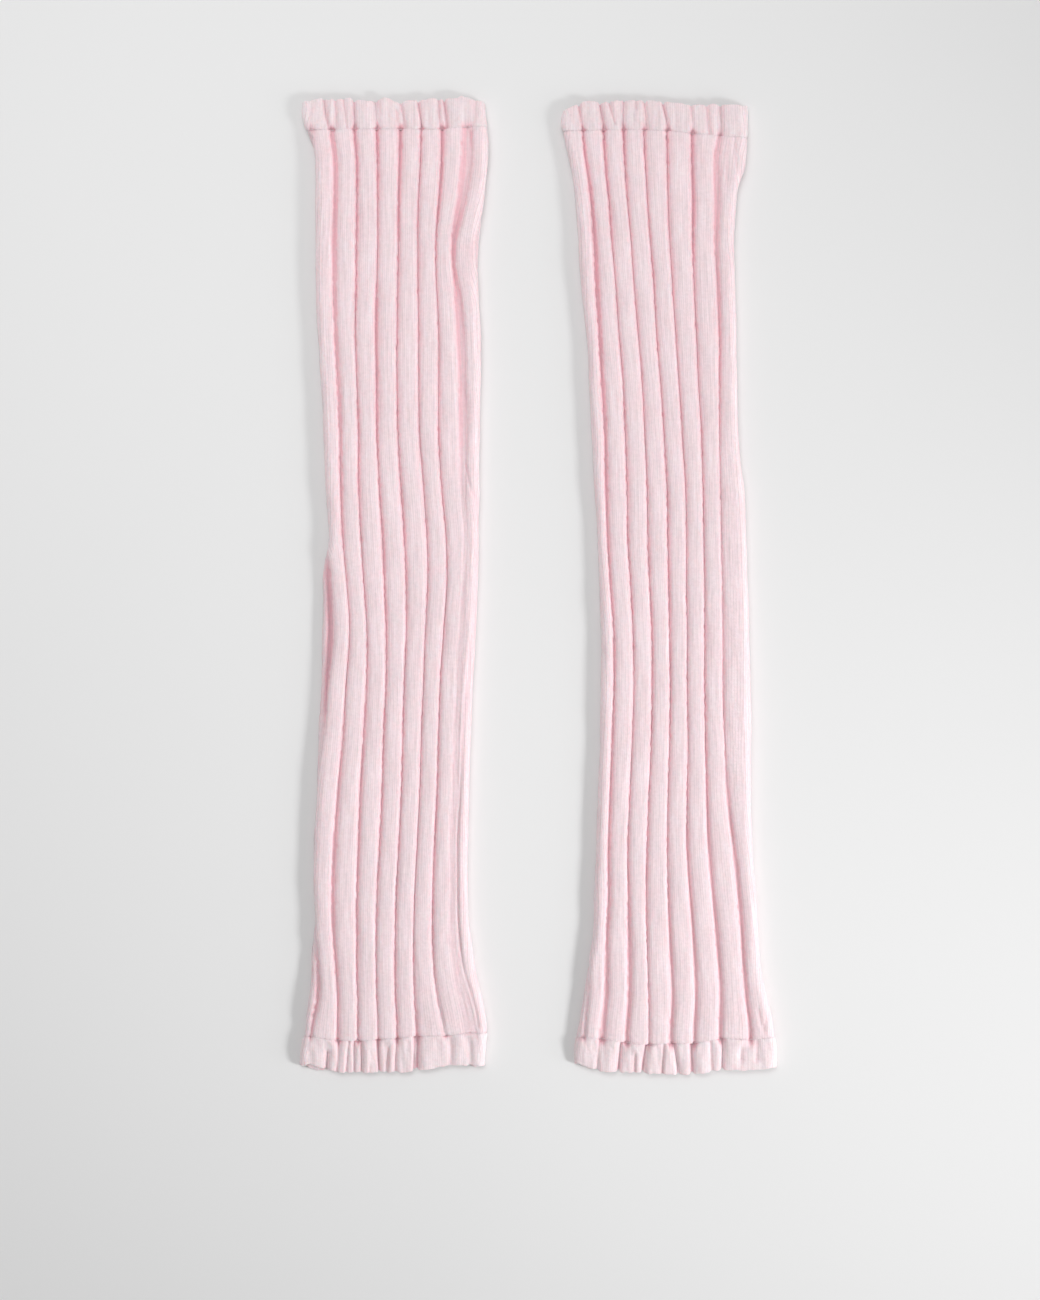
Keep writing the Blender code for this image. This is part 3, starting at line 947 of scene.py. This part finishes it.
def painted_groove_and_flank_shade(filled, place, normal_x, rise=0.0):
    """Painted shade: 1 in a groove, falling off up the flanks, most on the left flank away from the
    lamps.
    """
    flank = FLANK_PAINTED_SHADE * (1 - np.sqrt(1 - place * place))
    start, end = LEFT_FLANK_SPAN
    left_flank = LEFT_FLANK_PAINTED_SHADE * smooth_step((start - place) / (start - end))
    trough = (1 - filled) * (1 - rise)
    return np.maximum(trough, flank + left_flank) * (1 - SIDE_PALER * np.abs(normal_x))


def tube_layer(leg, down, rib, inner):
    """Points and painted shade of the tube's outside or inside at sections down and coordinates rib.
    """
    web = Web(leg, down)
    rib = np.broadcast_to(rib, (len(down), len(rib)))
    row = down[:, None]
    x, z, normal_x, normal_z = web.point(web.along(rib))
    profile, place, left_rise = rib_profile(leg, web, down, rib)
    index = np.floor(rib).astype(int) % RIBS
    down_share = row / LENGTH
    puff = 1 + CREST_WAVER * wander(row, index, *CREST_WAVES)
    filled = profile + SIDE_FILL * np.abs(normal_x) * (1 - profile)
    out = relief_at(normal_z, TOP_RELIEF * (1 - LOWER_SINK * down_share)) * puff * filled
    creased = 0 * out
    if not inner:
        from_end = np.minimum(row - HEM_HEIGHT, LENGTH - HEM_HEIGHT - row)
        creased = crease_depth(leg, row, x, normal_z) + seam_pit(from_end, web, rib)
        out = out - creased - CREST_DIP * np.exp(-(from_end / DIP_REACH) ** 2) + fuzz(out.shape)
    out = held_by_floor(out, z, normal_z)
    if inner:
        out = RIB_HOLLOW * out - GROOVE_WALL
    at_end = (down == down.min()) | (down == down.max())
    inset = np.where(row < LENGTH / 2, SEAM_GAP / 2, -SEAM_GAP / 2) * at_end[:, None]
    y = row + seam_shift(leg, row, rib) + inset
    points = np.stack([leg["axis"] + x + out * normal_x, leg["upper_lip"] - y,
                       z + out * normal_z], -1)
    # Painted shade, paler lower down, and painted shade on the right edge that grows lower down.
    painted_shade = painted_groove_and_flank_shade(filled, place, normal_x, left_rise) * (1 - LOWER_PAINTED_SHADE_FADE * down_share)
    painted_shade = painted_shade + RIGHT_EDGE_PAINTED_SHADE * np.clip(normal_x, 0, 1) * down_share
    # Painted shade in the creases and seam pits, by their depth.
    return points, np.clip(painted_shade + CREASE_PAINTED_SHADE * creased, 0, 1)


middle_row, _ = tube_layer(LEGS["left"], np.array([LENGTH / 2]), around, True)
room = round(float(np.ptp(middle_row[..., 0])), 1)
print("inside of the left leg, half way down, is", room, "mm wide")

# %% Both tubes
def rib_tube(side, leg):
    outer_rows = body_rows()
    inner_rows = np.linspace(LENGTH - HEM_HEIGHT, HEM_HEIGHT, INNER_ROWS)
    rib = rib_samples()
    outer, outer_painted_shade = tube_layer(leg, outer_rows, rib, False)
    inner, inner_painted_shade = tube_layer(leg, inner_rows, rib, True)
    courses = np.concatenate([outer_rows, inner_rows, outer_rows[:1]]) / COURSE
    return cloth_shell(f"{side}_rib_tube_knit", np.concatenate([outer, inner]),
                       stitch_counts(rib), courses, np.concatenate([outer_painted_shade, inner_painted_shade]),
                       [0, len(outer_rows) - 1, len(outer_rows), -1])


tubes = {side: rib_tube(side, leg) for side, leg in LEGS.items()}

# %% [markdown]
# ## The elastic hems
#
# A hem starts at the seam with the ghost of the ribs still in it, and loses them within a few
# millimetres. What is left is a soft band with puckers pressed into it, bulging a little between
# them and thinner towards the lip, where the casing is folded. A pucker is a narrow trough inside a
# wide, shallow one, a little deeper at the lip than at the seam. It also pulls the lip in by a
# millimetre or two, which gives the scalloped edge. A cloth simulation would need the elastic's true
# tension, while pressing the cloth in by formula keeps each pucker where it was put.

# %% Puckers
# A trough of its own width and a wide one, and the share of the hem a short one grows or fades in.
PUCKER = 1.7
PUCKER_WIDTH = 0.62
PUCKER_POWER = 1.3
WIDE_PUCKER = 0.3
WIDE_PUCKER_WIDTH = 2.8
PUCKER_AT_SEAM = 0.8
PUCKER_AT_LIP = 1.2
PUCKER_GROWS = 0.25
PUCKER_FADES = 0.2
HIDDEN_FOLD_SHARE = 0.7
HIDDEN_SEAM_SHIFT = 0.17
HIDDEN_LIP_SHIFT = 0.08


def fold_table(hem):
    """Every pucker round the hem: those on top, and shallower ones like them on the hidden side."""
    rows = np.array([fold[:4] + (fold[4:] or WHOLE_WAY) for fold in hem["folds"]])
    hidden = rows.copy()
    hidden[:, 0] = RIBS - rows[:, 0] - HIDDEN_SEAM_SHIFT
    hidden[:, 1] = RIBS - rows[:, 1] - HIDDEN_LIP_SHIFT
    hidden[:, 2] *= HIDDEN_FOLD_SHARE
    return np.concatenate([rows, hidden])


def fold_depth(hem, web, rib, share):
    """How far the puckers press the cloth in, in millimetres."""
    pressed = np.zeros(np.broadcast(rib, share).shape)
    length = web.along(rib)
    for seam_rib, lip_rib, depth, width, starts, ends in fold_table(hem):
        middle = web.along(np.broadcast_to(seam_rib + (lip_rib - seam_rib) * share, rib.shape))
        away = (length - middle + web.length / 2) % web.length - web.length / 2
        trough = np.exp(-np.abs(away / (PUCKER_WIDTH * width)) ** PUCKER_POWER)
        trough = trough + WIDE_PUCKER * np.exp(-(away / WIDE_PUCKER_WIDTH) ** 2)
        grown = smooth_step((share - starts) / PUCKER_GROWS + (starts == 0))
        kept = smooth_step((ends - share) / PUCKER_FADES + (ends == 1))
        deeper = PUCKER_AT_SEAM + (PUCKER_AT_LIP - PUCKER_AT_SEAM) * share
        pressed = pressed + PUCKER * depth * trough * grown * kept * deeper
    return pressed


print("puckers round the left upper hem:", len(fold_table(LEGS["left"]["upper_hem"])))

# %% Hem surface
# The ghost of the ribs, and the bulges between puckers. Both waves of the bulges slant a little.
GHOST_REACH = 3.6
GHOST_CREST = 0.45
GHOST_GROOVE = 2.0
BULGE = 0.32
BULGE_START = 3.0
BULGE_ROUND = 0.4
BULGE_LENGTHS = (0.83, 0.57, 1.31)
BULGE_SLANT = 0.15
SMALL_BULGE = 0.6
SMALL_BULGE_LENGTHS = (0.71, 0.39)
SMALL_BULGE_SLANT = -0.25
UPPER_SALT = 41
LOWER_SALT = 43
SMALL_SALT = 6

# The lip.
SCALLOP = 0.5
RAGGED = 0.22
RAGGED_WAVES = (0.41, 0.63, 0.29), 47
LIP_THINNING = 0.3
LIP_THINNING_POWER = 1.5
LIP_ROUND = 1.45

# Painted shade, darker and pinker, in the puckers and pits, for each millimetre of depth.
PUCKER_PAINTED_SHADE = 0.22
PIT_PAINTED_SHADE = 0.9


def bulges(rib, row, from_seam, normal_z, salt):
    """Soft swellings between the puckers, none at the seam or underneath."""
    swell = wander(rib + BULGE_SLANT * row, 0.0, BULGE_LENGTHS, salt)
    small = wander(rib + SMALL_BULGE_SLANT * row, 1.0, SMALL_BULGE_LENGTHS, salt + SMALL_SALT)
    shown = smooth_step(from_seam / BULGE_START) * np.clip(normal_z + BULGE_ROUND, 0, 1)
    return BULGE * (swell + SMALL_BULGE * small) * shown


def hem_layer(leg, hem, share, rib, inner):
    """Points and painted shade of a hem: share is 0 at the seam and 1 at the lip."""
    upper = hem is leg["upper_hem"]
    seam, lip = (HEM_HEIGHT, 0.0) if upper else (LENGTH - HEM_HEIGHT, LENGTH)
    nominal = seam + np.clip(share, 0, 1) * (lip - seam)
    web = Web(leg, nominal)
    rib = np.broadcast_to(rib, (len(share), len(rib)))
    row = share[:, None]
    x, z, normal_x, normal_z = web.point(web.along(rib))
    relief = relief_at(normal_z, HEM_RELIEF * (1 - LOWER_SINK * nominal[:, None] / LENGTH))
    flat = held_by_floor(relief, z, normal_z)
    pressed = fold_depth(hem, web, rib, row)
    profile, place, _ = rib_profile(leg, web, nominal, rib)
    from_seam = row * HEM_HEIGHT
    ghost = np.exp(-(from_seam / GHOST_REACH) ** 2)
    dip = np.exp(-(from_seam / DIP_REACH) ** 2)
    if inner:
        out = flat - HEM_WALL
    else:
        ghost_step = ghost * (GHOST_CREST - (1 - profile) * GHOST_GROOVE)
        bulge = bulges(rib, row, from_seam, normal_z, UPPER_SALT if upper else LOWER_SALT)
        out = relief - pressed + ghost_step + bulge - dip * CREST_DIP
        out = out - seam_pit(from_seam, web, rib) + fuzz(out.shape)
        out = held_by_floor(out, z, normal_z)
    side = -1 if upper else 1
    seam_line = hem_edge(hem, rib, "seam_down") + side * SEAM_GAP / 2
    ragged = RAGGED * wander(rib, 3.0, *RAGGED_WAVES)
    lip_line = hem_edge(hem, rib, "lip_down") - side * (SCALLOP * pressed + ragged)
    y = seam_line + row * (lip_line - seam_line)
    thinner = 1 - LIP_THINNING * np.clip(row, 0, 1) ** LIP_THINNING_POWER
    points = np.stack([leg["axis"] + x + out * normal_x, leg["upper_lip"] - y,
                       (z + out * normal_z) * thinner], -1)
    # Painted shade in the puckers, the ghost grooves and the seam pits.
    painted_shade = PUCKER_PAINTED_SHADE * pressed + ghost * painted_groove_and_flank_shade(profile, place, normal_x)
    painted_shade = painted_shade + PIT_PAINTED_SHADE * seam_pit(from_seam, web, rib)
    return points, np.clip(painted_shade, 0, 1)


lip_web = Web(LEGS["left"], np.zeros(1))
lip_depth = fold_depth(LEGS["left"]["upper_hem"], lip_web, around[None], np.ones(1))
print("deepest pucker at the left upper lip:", round(float(lip_depth.max()), 1), "mm")

# %% All four hems
HEM_STEPS_PER_RIB = 24
HEM_LINES = 38
LIP_LINES = 7
INNER_HEM_LINES = 9


def hem_shell(side, leg, hem_name):
    hem = leg[hem_name]
    rib = np.arange(RIBS * HEM_STEPS_PER_RIB) / HEM_STEPS_PER_RIB
    near_lip = 1 - LIP_ROUND / HEM_HEIGHT
    outer_share = np.linspace(0, near_lip, HEM_LINES)
    inner_share = np.linspace(near_lip, 0, INNER_HEM_LINES)
    outer, outer_painted_shade = hem_layer(leg, hem, outer_share, rib, False)
    inner, inner_painted_shade = hem_layer(leg, hem, inner_share, rib, True)
    full, full_painted_shade = hem_layer(leg, hem, np.ones(1), rib, False)
    tip = full[0] - outer[-1]
    middle = (outer[-1] + inner[0]) / 2
    half = (outer[-1] - inner[0]) / 2
    tip = tip - (tip * half).sum(-1, keepdims=True) * half / (half * half).sum(-1, keepdims=True)
    angles = np.linspace(0, math.pi, LIP_LINES + 2)[1:-1]
    roll = np.stack([middle + half * math.cos(a) + tip * math.sin(a) for a in angles])
    roll_painted_shade = np.repeat(full_painted_shade, LIP_LINES, 0)
    shares = np.concatenate([outer_share, np.full(LIP_LINES, 1.0), inner_share, outer_share[:1]])
    direction = -1 if hem_name == "upper_hem" else 1
    start = HEM_HEIGHT if hem_name == "upper_hem" else LENGTH - HEM_HEIGHT
    courses = (start + direction * shares * HEM_HEIGHT) / COURSE
    points = np.concatenate([outer, roll, inner])
    painted_shade = np.concatenate([outer_painted_shade, roll_painted_shade, inner_painted_shade])
    wales = WALES_PER_RIB * np.append(rib, float(RIBS))
    if direction < 0:
        points, painted_shade, courses = points[::-1], painted_shade[::-1], courses[::-1]
    return cloth_shell(f"{side}_{hem_name}_knit", points, wales, courses, painted_shade, [0, -1])


hems = {(side, name): hem_shell(side, leg, name)
        for side, leg in LEGS.items() for name in ("upper_hem", "lower_hem")}

# %% [markdown]
# ## Seam stitches
#
# The hem is sewn down with a row of short stitches in yarn of the same pink, sunk in the dip of the
# seam. One small capsule is repeated along the seam line, and all of one hem's stitches are joined
# into a single mesh. An array modifier on a curve could do this as well, but here the seam's own
# points are at hand, so a loop is shorter.

# %% Stitches along a seam
STITCH_LENGTH = 2.6
STITCH_SPACING = 3.3
THREAD_RADIUS = 0.28
THREAD_SIDES = 6
THREAD_RISE = 0.12
THREAD_ONTO_TUBE = 0.15
SEAM_STEPS_PER_RIB = 60
LOWEST_STITCH = 1.5

# How thick a stitch is from its start to its end, as shares of its length and radius.
STITCH_RINGS = ((0.0, 0.35), (0.12, 0.85), (0.5, 1.0), (0.88, 0.85), (1.0, 0.35))


def capsule(start, end, radius):
    """Rings of points of a short thread from start to end, thinner at its ends."""
    axis = end - start
    forward = axis / np.linalg.norm(axis)
    aside = np.cross(forward, (0.0, 0.0, 1.0))
    aside = aside / max(np.linalg.norm(aside), TINY)
    above = np.cross(aside, forward)
    turn = 2 * math.pi * np.arange(THREAD_SIDES) / THREAD_SIDES
    circle = np.cos(turn)[:, None] * aside + np.sin(turn)[:, None] * above
    return np.stack([start + along * axis + thick * radius * circle for along, thick in STITCH_RINGS])


def seam_stitches(side, leg, hem_name):
    hem = leg[hem_name]
    upper = hem_name == "upper_hem"
    rib = np.arange(0, RIBS, 1 / SEAM_STEPS_PER_RIB)
    line, _ = hem_layer(leg, hem, np.array([0.0]), rib, False)
    line = line[0]
    steps = np.linalg.norm(np.diff(line, axis=0, append=line[:1]), axis=1)
    place = np.concatenate([[0], np.cumsum(steps)])
    closed = np.concatenate([line, line[:1]])
    lift = np.array([0.0, -THREAD_ONTO_TUBE if upper else THREAD_ONTO_TUBE, THREAD_RISE])
    vertices, faces, sewn = [], [], 0
    for begin in np.arange(0, place[-1] - STITCH_SPACING, STITCH_SPACING):
        ends = [np.array([np.interp(begin + far, place, closed[:, k]) for k in range(3)])
                for far in (0.0, STITCH_LENGTH)]
        if min(end[2] for end in ends) < LOWEST_STITCH:
            continue
        sewn += 1
        rings = capsule(ends[0] + lift, ends[1] + lift, THREAD_RADIUS)
        count, sides, _ = rings.shape
        base = len(vertices)
        vertices += rings.reshape(-1, 3).tolist()
        for ring in range(count - 1):
            for k in range(sides):
                after = (k + 1) % sides
                faces.append((base + ring * sides + k, base + ring * sides + after,
                              base + (ring + 1) * sides + after, base + (ring + 1) * sides + k))
        faces.append(tuple(base + k for k in reversed(range(sides))))
        faces.append(tuple(base + (count - 1) * sides + k for k in range(sides)))
    name = f"{side}_{hem_name}_stitches"
    mesh = bpy.data.meshes.new(name)
    mesh.from_pydata((np.array(vertices) * MM).tolist(), [], faces)
    mesh.shade_smooth()
    print(name, "has", sewn, "stitches")
    return put_in_scene(name, mesh)


stitches = {key: seam_stitches(key[0], LEGS[key[0]], key[1]) for key in hems}

# %% [markdown]
# ## Yarn
#
# The yarn is a pale pink acrylic, matt and slightly fluffy. Close up, stocking stitch is columns of
# small V shapes, with a shaded valley between two columns. The stitch map counts wales across and
# courses down, so two sine waves, one of them slanted by a ping-pong of the other, draw the two legs
# of each V as a bump and as painted shade between the strands, and a third paints shade into the
# valleys. A ramp paints shade into the colour from the painted-shade mask: darker and pinker deep in
# a groove, crease, pucker or pit, standing in for the shade there and for light that bounces between
# pink walls. Noise along the wales gives the streaks that real yarn has, a finer one its tufts, and
# a little subsurface scattering lets light through the fluffy flanks.

# %% Node helpers
def feed(tree, socket, value):
    """Joins another node's output to a socket, or sets the socket to a plain value."""
    if isinstance(value, bpy.types.NodeSocket):
        tree.links.new(value, socket)
    else:
        socket.default_value = value


def add_node(tree, kind, **inputs):
    node = tree.nodes.new(kind)
    for name, value in inputs.items():
        feed(tree, node.inputs[name], value)
    return node


def calculate(tree, operation, *values):
    node = tree.nodes.new("ShaderNodeMath")
    node.operation = operation
    for socket, value in zip(node.inputs, values):
        feed(tree, socket, value)
    return node.outputs[0]


def blended(tree, share, first, second, blend="MIX"):
    """A mix of two colours. Inputs 0, 6 and 7 of the node are its share and its two colours."""
    node = tree.nodes.new("ShaderNodeMix")
    node.data_type = "RGBA"
    node.blend_type = blend
    for number, value in ((0, share), (6, first), (7, second)):
        feed(tree, node.inputs[number], value)
    return node.outputs[2]


def noise(tree, place, scale, detail, roughness):
    return add_node(tree, "ShaderNodeTexNoise", Vector=place, Scale=scale, Detail=detail,
                    Roughness=roughness).outputs["Fac"]


def bumpy(tree, shader, height, strength, distance):
    bump = add_node(tree, "ShaderNodeBump", Height=height, Strength=strength, Distance=distance)
    tree.links.new(bump.outputs["Normal"], shader.inputs["Normal"])


def new_material(name, settings):
    """A material, its nodes, its shader with the given settings, and a place on the object."""
    material = bpy.data.materials.new(name)
    material.use_nodes = True
    tree = material.node_tree
    shader = tree.nodes["Principled BSDF"]
    for socket, value in settings.items():
        shader.inputs[socket].default_value = value
    return material, tree, shader, tree.nodes.new("ShaderNodeTexCoord").outputs["Object"]


print("node helpers ready")

# %% Yarn colour, painted shade and unevenness
# Where each colour belongs on the painted-shade mask: the yarn's own pink on the crest, then painted
# shade, darker and pinker, down to the bottom of a groove.
PAINTED_SHADE_STOPS = (0.02, 0.30, 0.62, 1.0)
RIB_COLOUR_AND_PAINTED_SHADE = ((0.94, 0.765, 0.795), (0.95, 0.71, 0.75), (0.94, 0.60, 0.65), (0.82, 0.47, 0.53))
HEM_COLOUR_AND_PAINTED_SHADE = ((0.94, 0.785, 0.81), (0.95, 0.74, 0.77), (0.92, 0.63, 0.675), (0.74, 0.43, 0.48))

# How bright the yarn is: a share that varies, and the share that is always there. The stitch and
# valley pairs are painted shade between strands and in the valleys between wales; streaks, patches
# and tufts are the yarn's own uneven tone.
STITCH_PAINTED_SHADE = (0.14, 0.91)
VALLEY_PAINTED_SHADE = (0.14, 0.88)
STREAK_LIGHT = (0.40, 0.80)
PATCH_LIGHT = (0.07, 0.965)
TUFT_LIGHT = (0.22, 0.89)

# Scale, detail and roughness of each noise. One wale or one course covers this much of a streak, so
# a streak is about a wale wide and 33 courses long.
STREAK_NOISE = (1.0, 2.0, 0.6)
STREAK_PER_WALE = 0.9
STREAK_PER_COURSE = 0.03
PATCH_NOISE = (22.0, 3.0, 0.55)
TUFT_NOISE = (520.0, 3.0, 0.7)
FLUFF_NOISE = (1500.0, 2.0, 0.7)

for stop, rib_shade, hem_shade in zip(PAINTED_SHADE_STOPS, RIB_COLOUR_AND_PAINTED_SHADE, HEM_COLOUR_AND_PAINTED_SHADE):
    print("nested", stop, "rib", rib_shade, "hem", hem_shade)

# %% Stitches drawn by sine waves
V_SLANT = 1.2
LOOP_SHARE = 0.55
STRAND_POWER = 0.5
VALLEY_POWER = 0.4


def bumps(tree, stitches_along, per_stitch, power):
    """Rounded bumps from 0 to 1, so many to a stitch. A lower power makes them broader."""
    angle = calculate(tree, "MULTIPLY", stitches_along, per_stitch * math.pi)
    wave = calculate(tree, "ABSOLUTE", calculate(tree, "SINE", angle))
    return calculate(tree, "POWER", wave, power)


def stitch_height(tree, wale, course):
    """The V legs of stocking stitch, from 0 between strands to 1 on top of them."""
    strands = bumps(tree, wale, 2, STRAND_POWER)
    slant = calculate(tree, "MULTIPLY", calculate(tree, "PINGPONG", wale, 0.5), V_SLANT)
    loops = bumps(tree, calculate(tree, "ADD", course, slant), 1, STRAND_POWER)
    loops = calculate(tree, "MULTIPLY_ADD", loops, LOOP_SHARE, 1 - LOOP_SHARE)
    return calculate(tree, "MULTIPLY", strands, loops)


print("loops of a stitch rise from", round(1 - LOOP_SHARE, 2), "to 1")

# %% Knit material
# How far the bump rises: tufts and fluff beside a stitch of height 1, and the whole in metres.
TUFT_RISE = 1.2
FLUFF_RISE = 0.35
BUMP_RISE = 0.0003
RIB_BUMP = 0.6
HEM_BUMP = 0.65

# Strand tops are a little smoother than the rest.
YARN_ROUGHNESS = (-0.08, 0.94)
YARN = {
    "Subsurface Weight": 0.4,
    "Subsurface Radius": (1.0, 0.4, 0.47),
    "Subsurface Scale": 0.0015,
    "Specular IOR Level": 0.15,
    "Sheen Weight": 0.12,
    "Sheen Roughness": 0.6,
    "Sheen Tint": (1.0, 0.9, 0.92, 1.0),
}


def knit_material(name, colour_and_painted_shade, bump_strength):
    material, tree, shader, place = new_material(name, YARN)
    stitch_map = tree.nodes.new("ShaderNodeUVMap")
    stitch_map.uv_map = "knit"
    counts = add_node(tree, "ShaderNodeSeparateXYZ", Vector=stitch_map.outputs["UV"])
    wale, course = counts.outputs["X"], counts.outputs["Y"]
    height = stitch_height(tree, wale, course)

    painted_shade = tree.nodes.new("ShaderNodeAttribute")
    painted_shade.attribute_name = "painted_shade"
    # The ramp paints shade into the colour: the crest stop is the yarn's own pink, deeper stops are
    # painted shade.
    yarn_and_painted_shade_ramp = add_node(tree, "ShaderNodeValToRGB", Fac=painted_shade.outputs["Fac"])
    stops = yarn_and_painted_shade_ramp.color_ramp.elements
    while len(stops) < len(PAINTED_SHADE_STOPS):
        stops.new(0.5)
    for stop, position, shade in zip(stops, PAINTED_SHADE_STOPS, colour_and_painted_shade):
        stop.position = position
        stop.color = (*shade, 1.0)

    along_wales = add_node(tree, "ShaderNodeCombineXYZ",
                           X=calculate(tree, "MULTIPLY", wale, STREAK_PER_WALE),
                           Y=calculate(tree, "MULTIPLY", course, STREAK_PER_COURSE)).outputs[0]
    tufts = noise(tree, place, *TUFT_NOISE)
    value = 1.0
    # Painted shade between strands and in the valleys, times the yarn's own uneven tone.
    for factor, light in ((noise(tree, along_wales, *STREAK_NOISE), STREAK_LIGHT),
                          (noise(tree, place, *PATCH_NOISE), PATCH_LIGHT),
                          (height, STITCH_PAINTED_SHADE),
                          (bumps(tree, wale, 1, VALLEY_POWER), VALLEY_PAINTED_SHADE),
                          (tufts, TUFT_LIGHT)):
        value = calculate(tree, "MULTIPLY", value, calculate(tree, "MULTIPLY_ADD", factor, *light))
    grey = add_node(tree, "ShaderNodeCombineXYZ", X=value, Y=value, Z=value)
    colour = blended(tree, 1.0, yarn_and_painted_shade_ramp.outputs["Color"], grey.outputs[0], "MULTIPLY")
    tree.links.new(colour, shader.inputs["Base Color"])

    fluff = noise(tree, place, *FLUFF_NOISE)
    raised = calculate(tree, "MULTIPLY_ADD", fluff, FLUFF_RISE, height)
    raised = calculate(tree, "MULTIPLY_ADD", tufts, TUFT_RISE, raised)
    bumpy(tree, shader, raised, bump_strength, BUMP_RISE)
    roughness = calculate(tree, "MULTIPLY_ADD", height, *YARN_ROUGHNESS)
    tree.links.new(roughness, shader.inputs["Roughness"])
    return material


rib_yarn = knit_material("pale pink rib knit", RIB_COLOUR_AND_PAINTED_SHADE, RIB_BUMP)
hem_yarn = knit_material("pale pink hem knit", HEM_COLOUR_AND_PAINTED_SHADE, HEM_BUMP)
print("knit materials:", rib_yarn.name, "/", hem_yarn.name)

# %% Thread
THREAD_SHADES = ((0.83, 0.65, 0.69, 1.0), (0.87, 0.72, 0.75, 1.0))
THREAD_TWIST = {"Scale": 900.0, "Distortion": 2.0, "Detail": 1.0}
THREAD_BUMP = 0.4
THREAD_BUMP_RISE = 0.0001


def thread_material():
    material, tree, shader, place = new_material("pink sewing thread", {"Roughness": 0.8})
    twist = add_node(tree, "ShaderNodeTexWave", Vector=place, **THREAD_TWIST).outputs["Fac"]
    tree.links.new(blended(tree, twist, *THREAD_SHADES), shader.inputs["Base Color"])
    bumpy(tree, shader, twist, THREAD_BUMP, THREAD_BUMP_RISE)
    return material


thread = thread_material()
print("thread material:", thread.name)

# %% [markdown]
# ## Giving each piece its yarn and its body
#
# Every shell stands in for one solid, whose own mesh is hidden, gets its yarn, and rides on the
# only body there is. The stitches ride on it too. A hem casing is knitted twice as high as it looks,
# because half of it is folded inside. Only the half that shows is stated here.

for side, piece in tubes.items():
    piece.data.materials.append(rib_yarn)
    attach(piece, "root")
    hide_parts(f"{side}_rib_tube")

for (side, name), piece in hems.items():
    piece.data.materials.append(hem_yarn)
    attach(piece, "root")
    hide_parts(f"{side}_{name}")

for (side, name), piece in stitches.items():
    piece.data.materials.append(thread)
    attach(piece, "root")
print("declared", len(tubes) + len(hems), "sheets and", len(stitches), "rows of stitches")

# %% [markdown]
# ## Floor, light and camera
#
# Soft daylight fills the room. A lamp low on the right throws short shadows to the left, a wide one
# beside it softens their edges, and a high window beyond the upper hems lifts the upper left. The
# camera hangs straight above the pair. A long lens from almost two metres up keeps the ribs free of
# perspective.

# %% Floor
FLOOR_SHADES = ((0.79, 0.79, 0.79, 1.0), (0.81, 0.81, 0.81, 1.0))
FLOOR_NOISE = (3.0, 2.0, 0.5)
FLOOR_FINISH = {"Roughness": 0.9, "Specular IOR Level": 0.1}


def floor_material():
    material, tree, shader, place = new_material("pale floor", FLOOR_FINISH)
    grain = noise(tree, place, *FLOOR_NOISE)
    tree.links.new(blended(tree, grain, *FLOOR_SHADES), shader.inputs["Base Color"])
    return material


# The floor is in metres, and lies a fraction of a millimetre below the cloth.
FLOOR_SIZE = 12.0
FLOOR_DROP = 0.2
floor_mesh = bpy.data.meshes.new("floor")
half = FLOOR_SIZE / 2
floor_mesh.from_pydata([(-half, -half, 0), (half, -half, 0), (half, half, 0), (-half, half, 0)], [],
                       [(0, 1, 2, 3)])
floor_mesh.materials.append(floor_material())
floor = put_in_scene("floor", floor_mesh)
floor.location.z = -FLOOR_DROP * MM
print("floor is", FLOOR_SIZE, "m across")

# %% Light
ROOM_LIGHT = 0.387
LAMPS = (
    {"name": "low lamp", "power": 1.97, "size": 0.36, "beam": 62,
     "place": (1.40, -0.57, 0.93), "aim": (-0.04, -0.26, 0.0)},
    {"name": "wide low lamp", "power": 5.5, "size": 0.8, "beam": 180,
     "place": (1.55, -0.57, 0.52), "aim": (-0.05, -0.05, 0.0)},
    {"name": "high window", "power": 3.8, "size": 1.6, "beam": 59,
     "place": (-0.43, 1.05, 1.73), "aim": (-0.21, 0.46, 0.0)},
)

world = bpy.data.worlds.new("soft room light")
bpy.context.scene.world = world
world.use_nodes = True
world.node_tree.nodes["Background"].inputs["Color"].default_value = (1.0, 1.0, 1.0, 1.0)
world.node_tree.nodes["Background"].inputs["Strength"].default_value = ROOM_LIGHT

for settings in LAMPS:
    lamp_data = bpy.data.lights.new(settings["name"], "AREA")
    lamp_data.energy = settings["power"]
    lamp_data.shape = "DISK"
    lamp_data.size = settings["size"]
    lamp_data.spread = math.radians(settings["beam"])
    lamp = put_in_scene(settings["name"], lamp_data)
    lamp.location = settings["place"]
    forward = Vector(settings["aim"]) - Vector(settings["place"])
    lamp.rotation_euler = forward.to_track_quat("-Z", "Y").to_euler()
    print(lamp.name, "gives", settings["power"], "W from", settings["place"])

# %% Camera
VIEW_CENTRE = (-0.0113, -0.0393)
VIEW_HEIGHT = 0.780
LENS = 85.0
SENSOR = 36.0
CREST_LEVEL = 0.005

camera_data = bpy.data.cameras.new("overhead camera")
camera_data.lens = LENS
camera_data.sensor_width = SENSOR
camera = put_in_scene("overhead camera", camera_data)
camera.location = (*VIEW_CENTRE, CREST_LEVEL + VIEW_HEIGHT * LENS / SENSOR)
bpy.context.scene.camera = camera
bpy.context.scene.view_settings.view_transform = "Standard"
print("camera is", round(camera.location.z, 3), "m up")
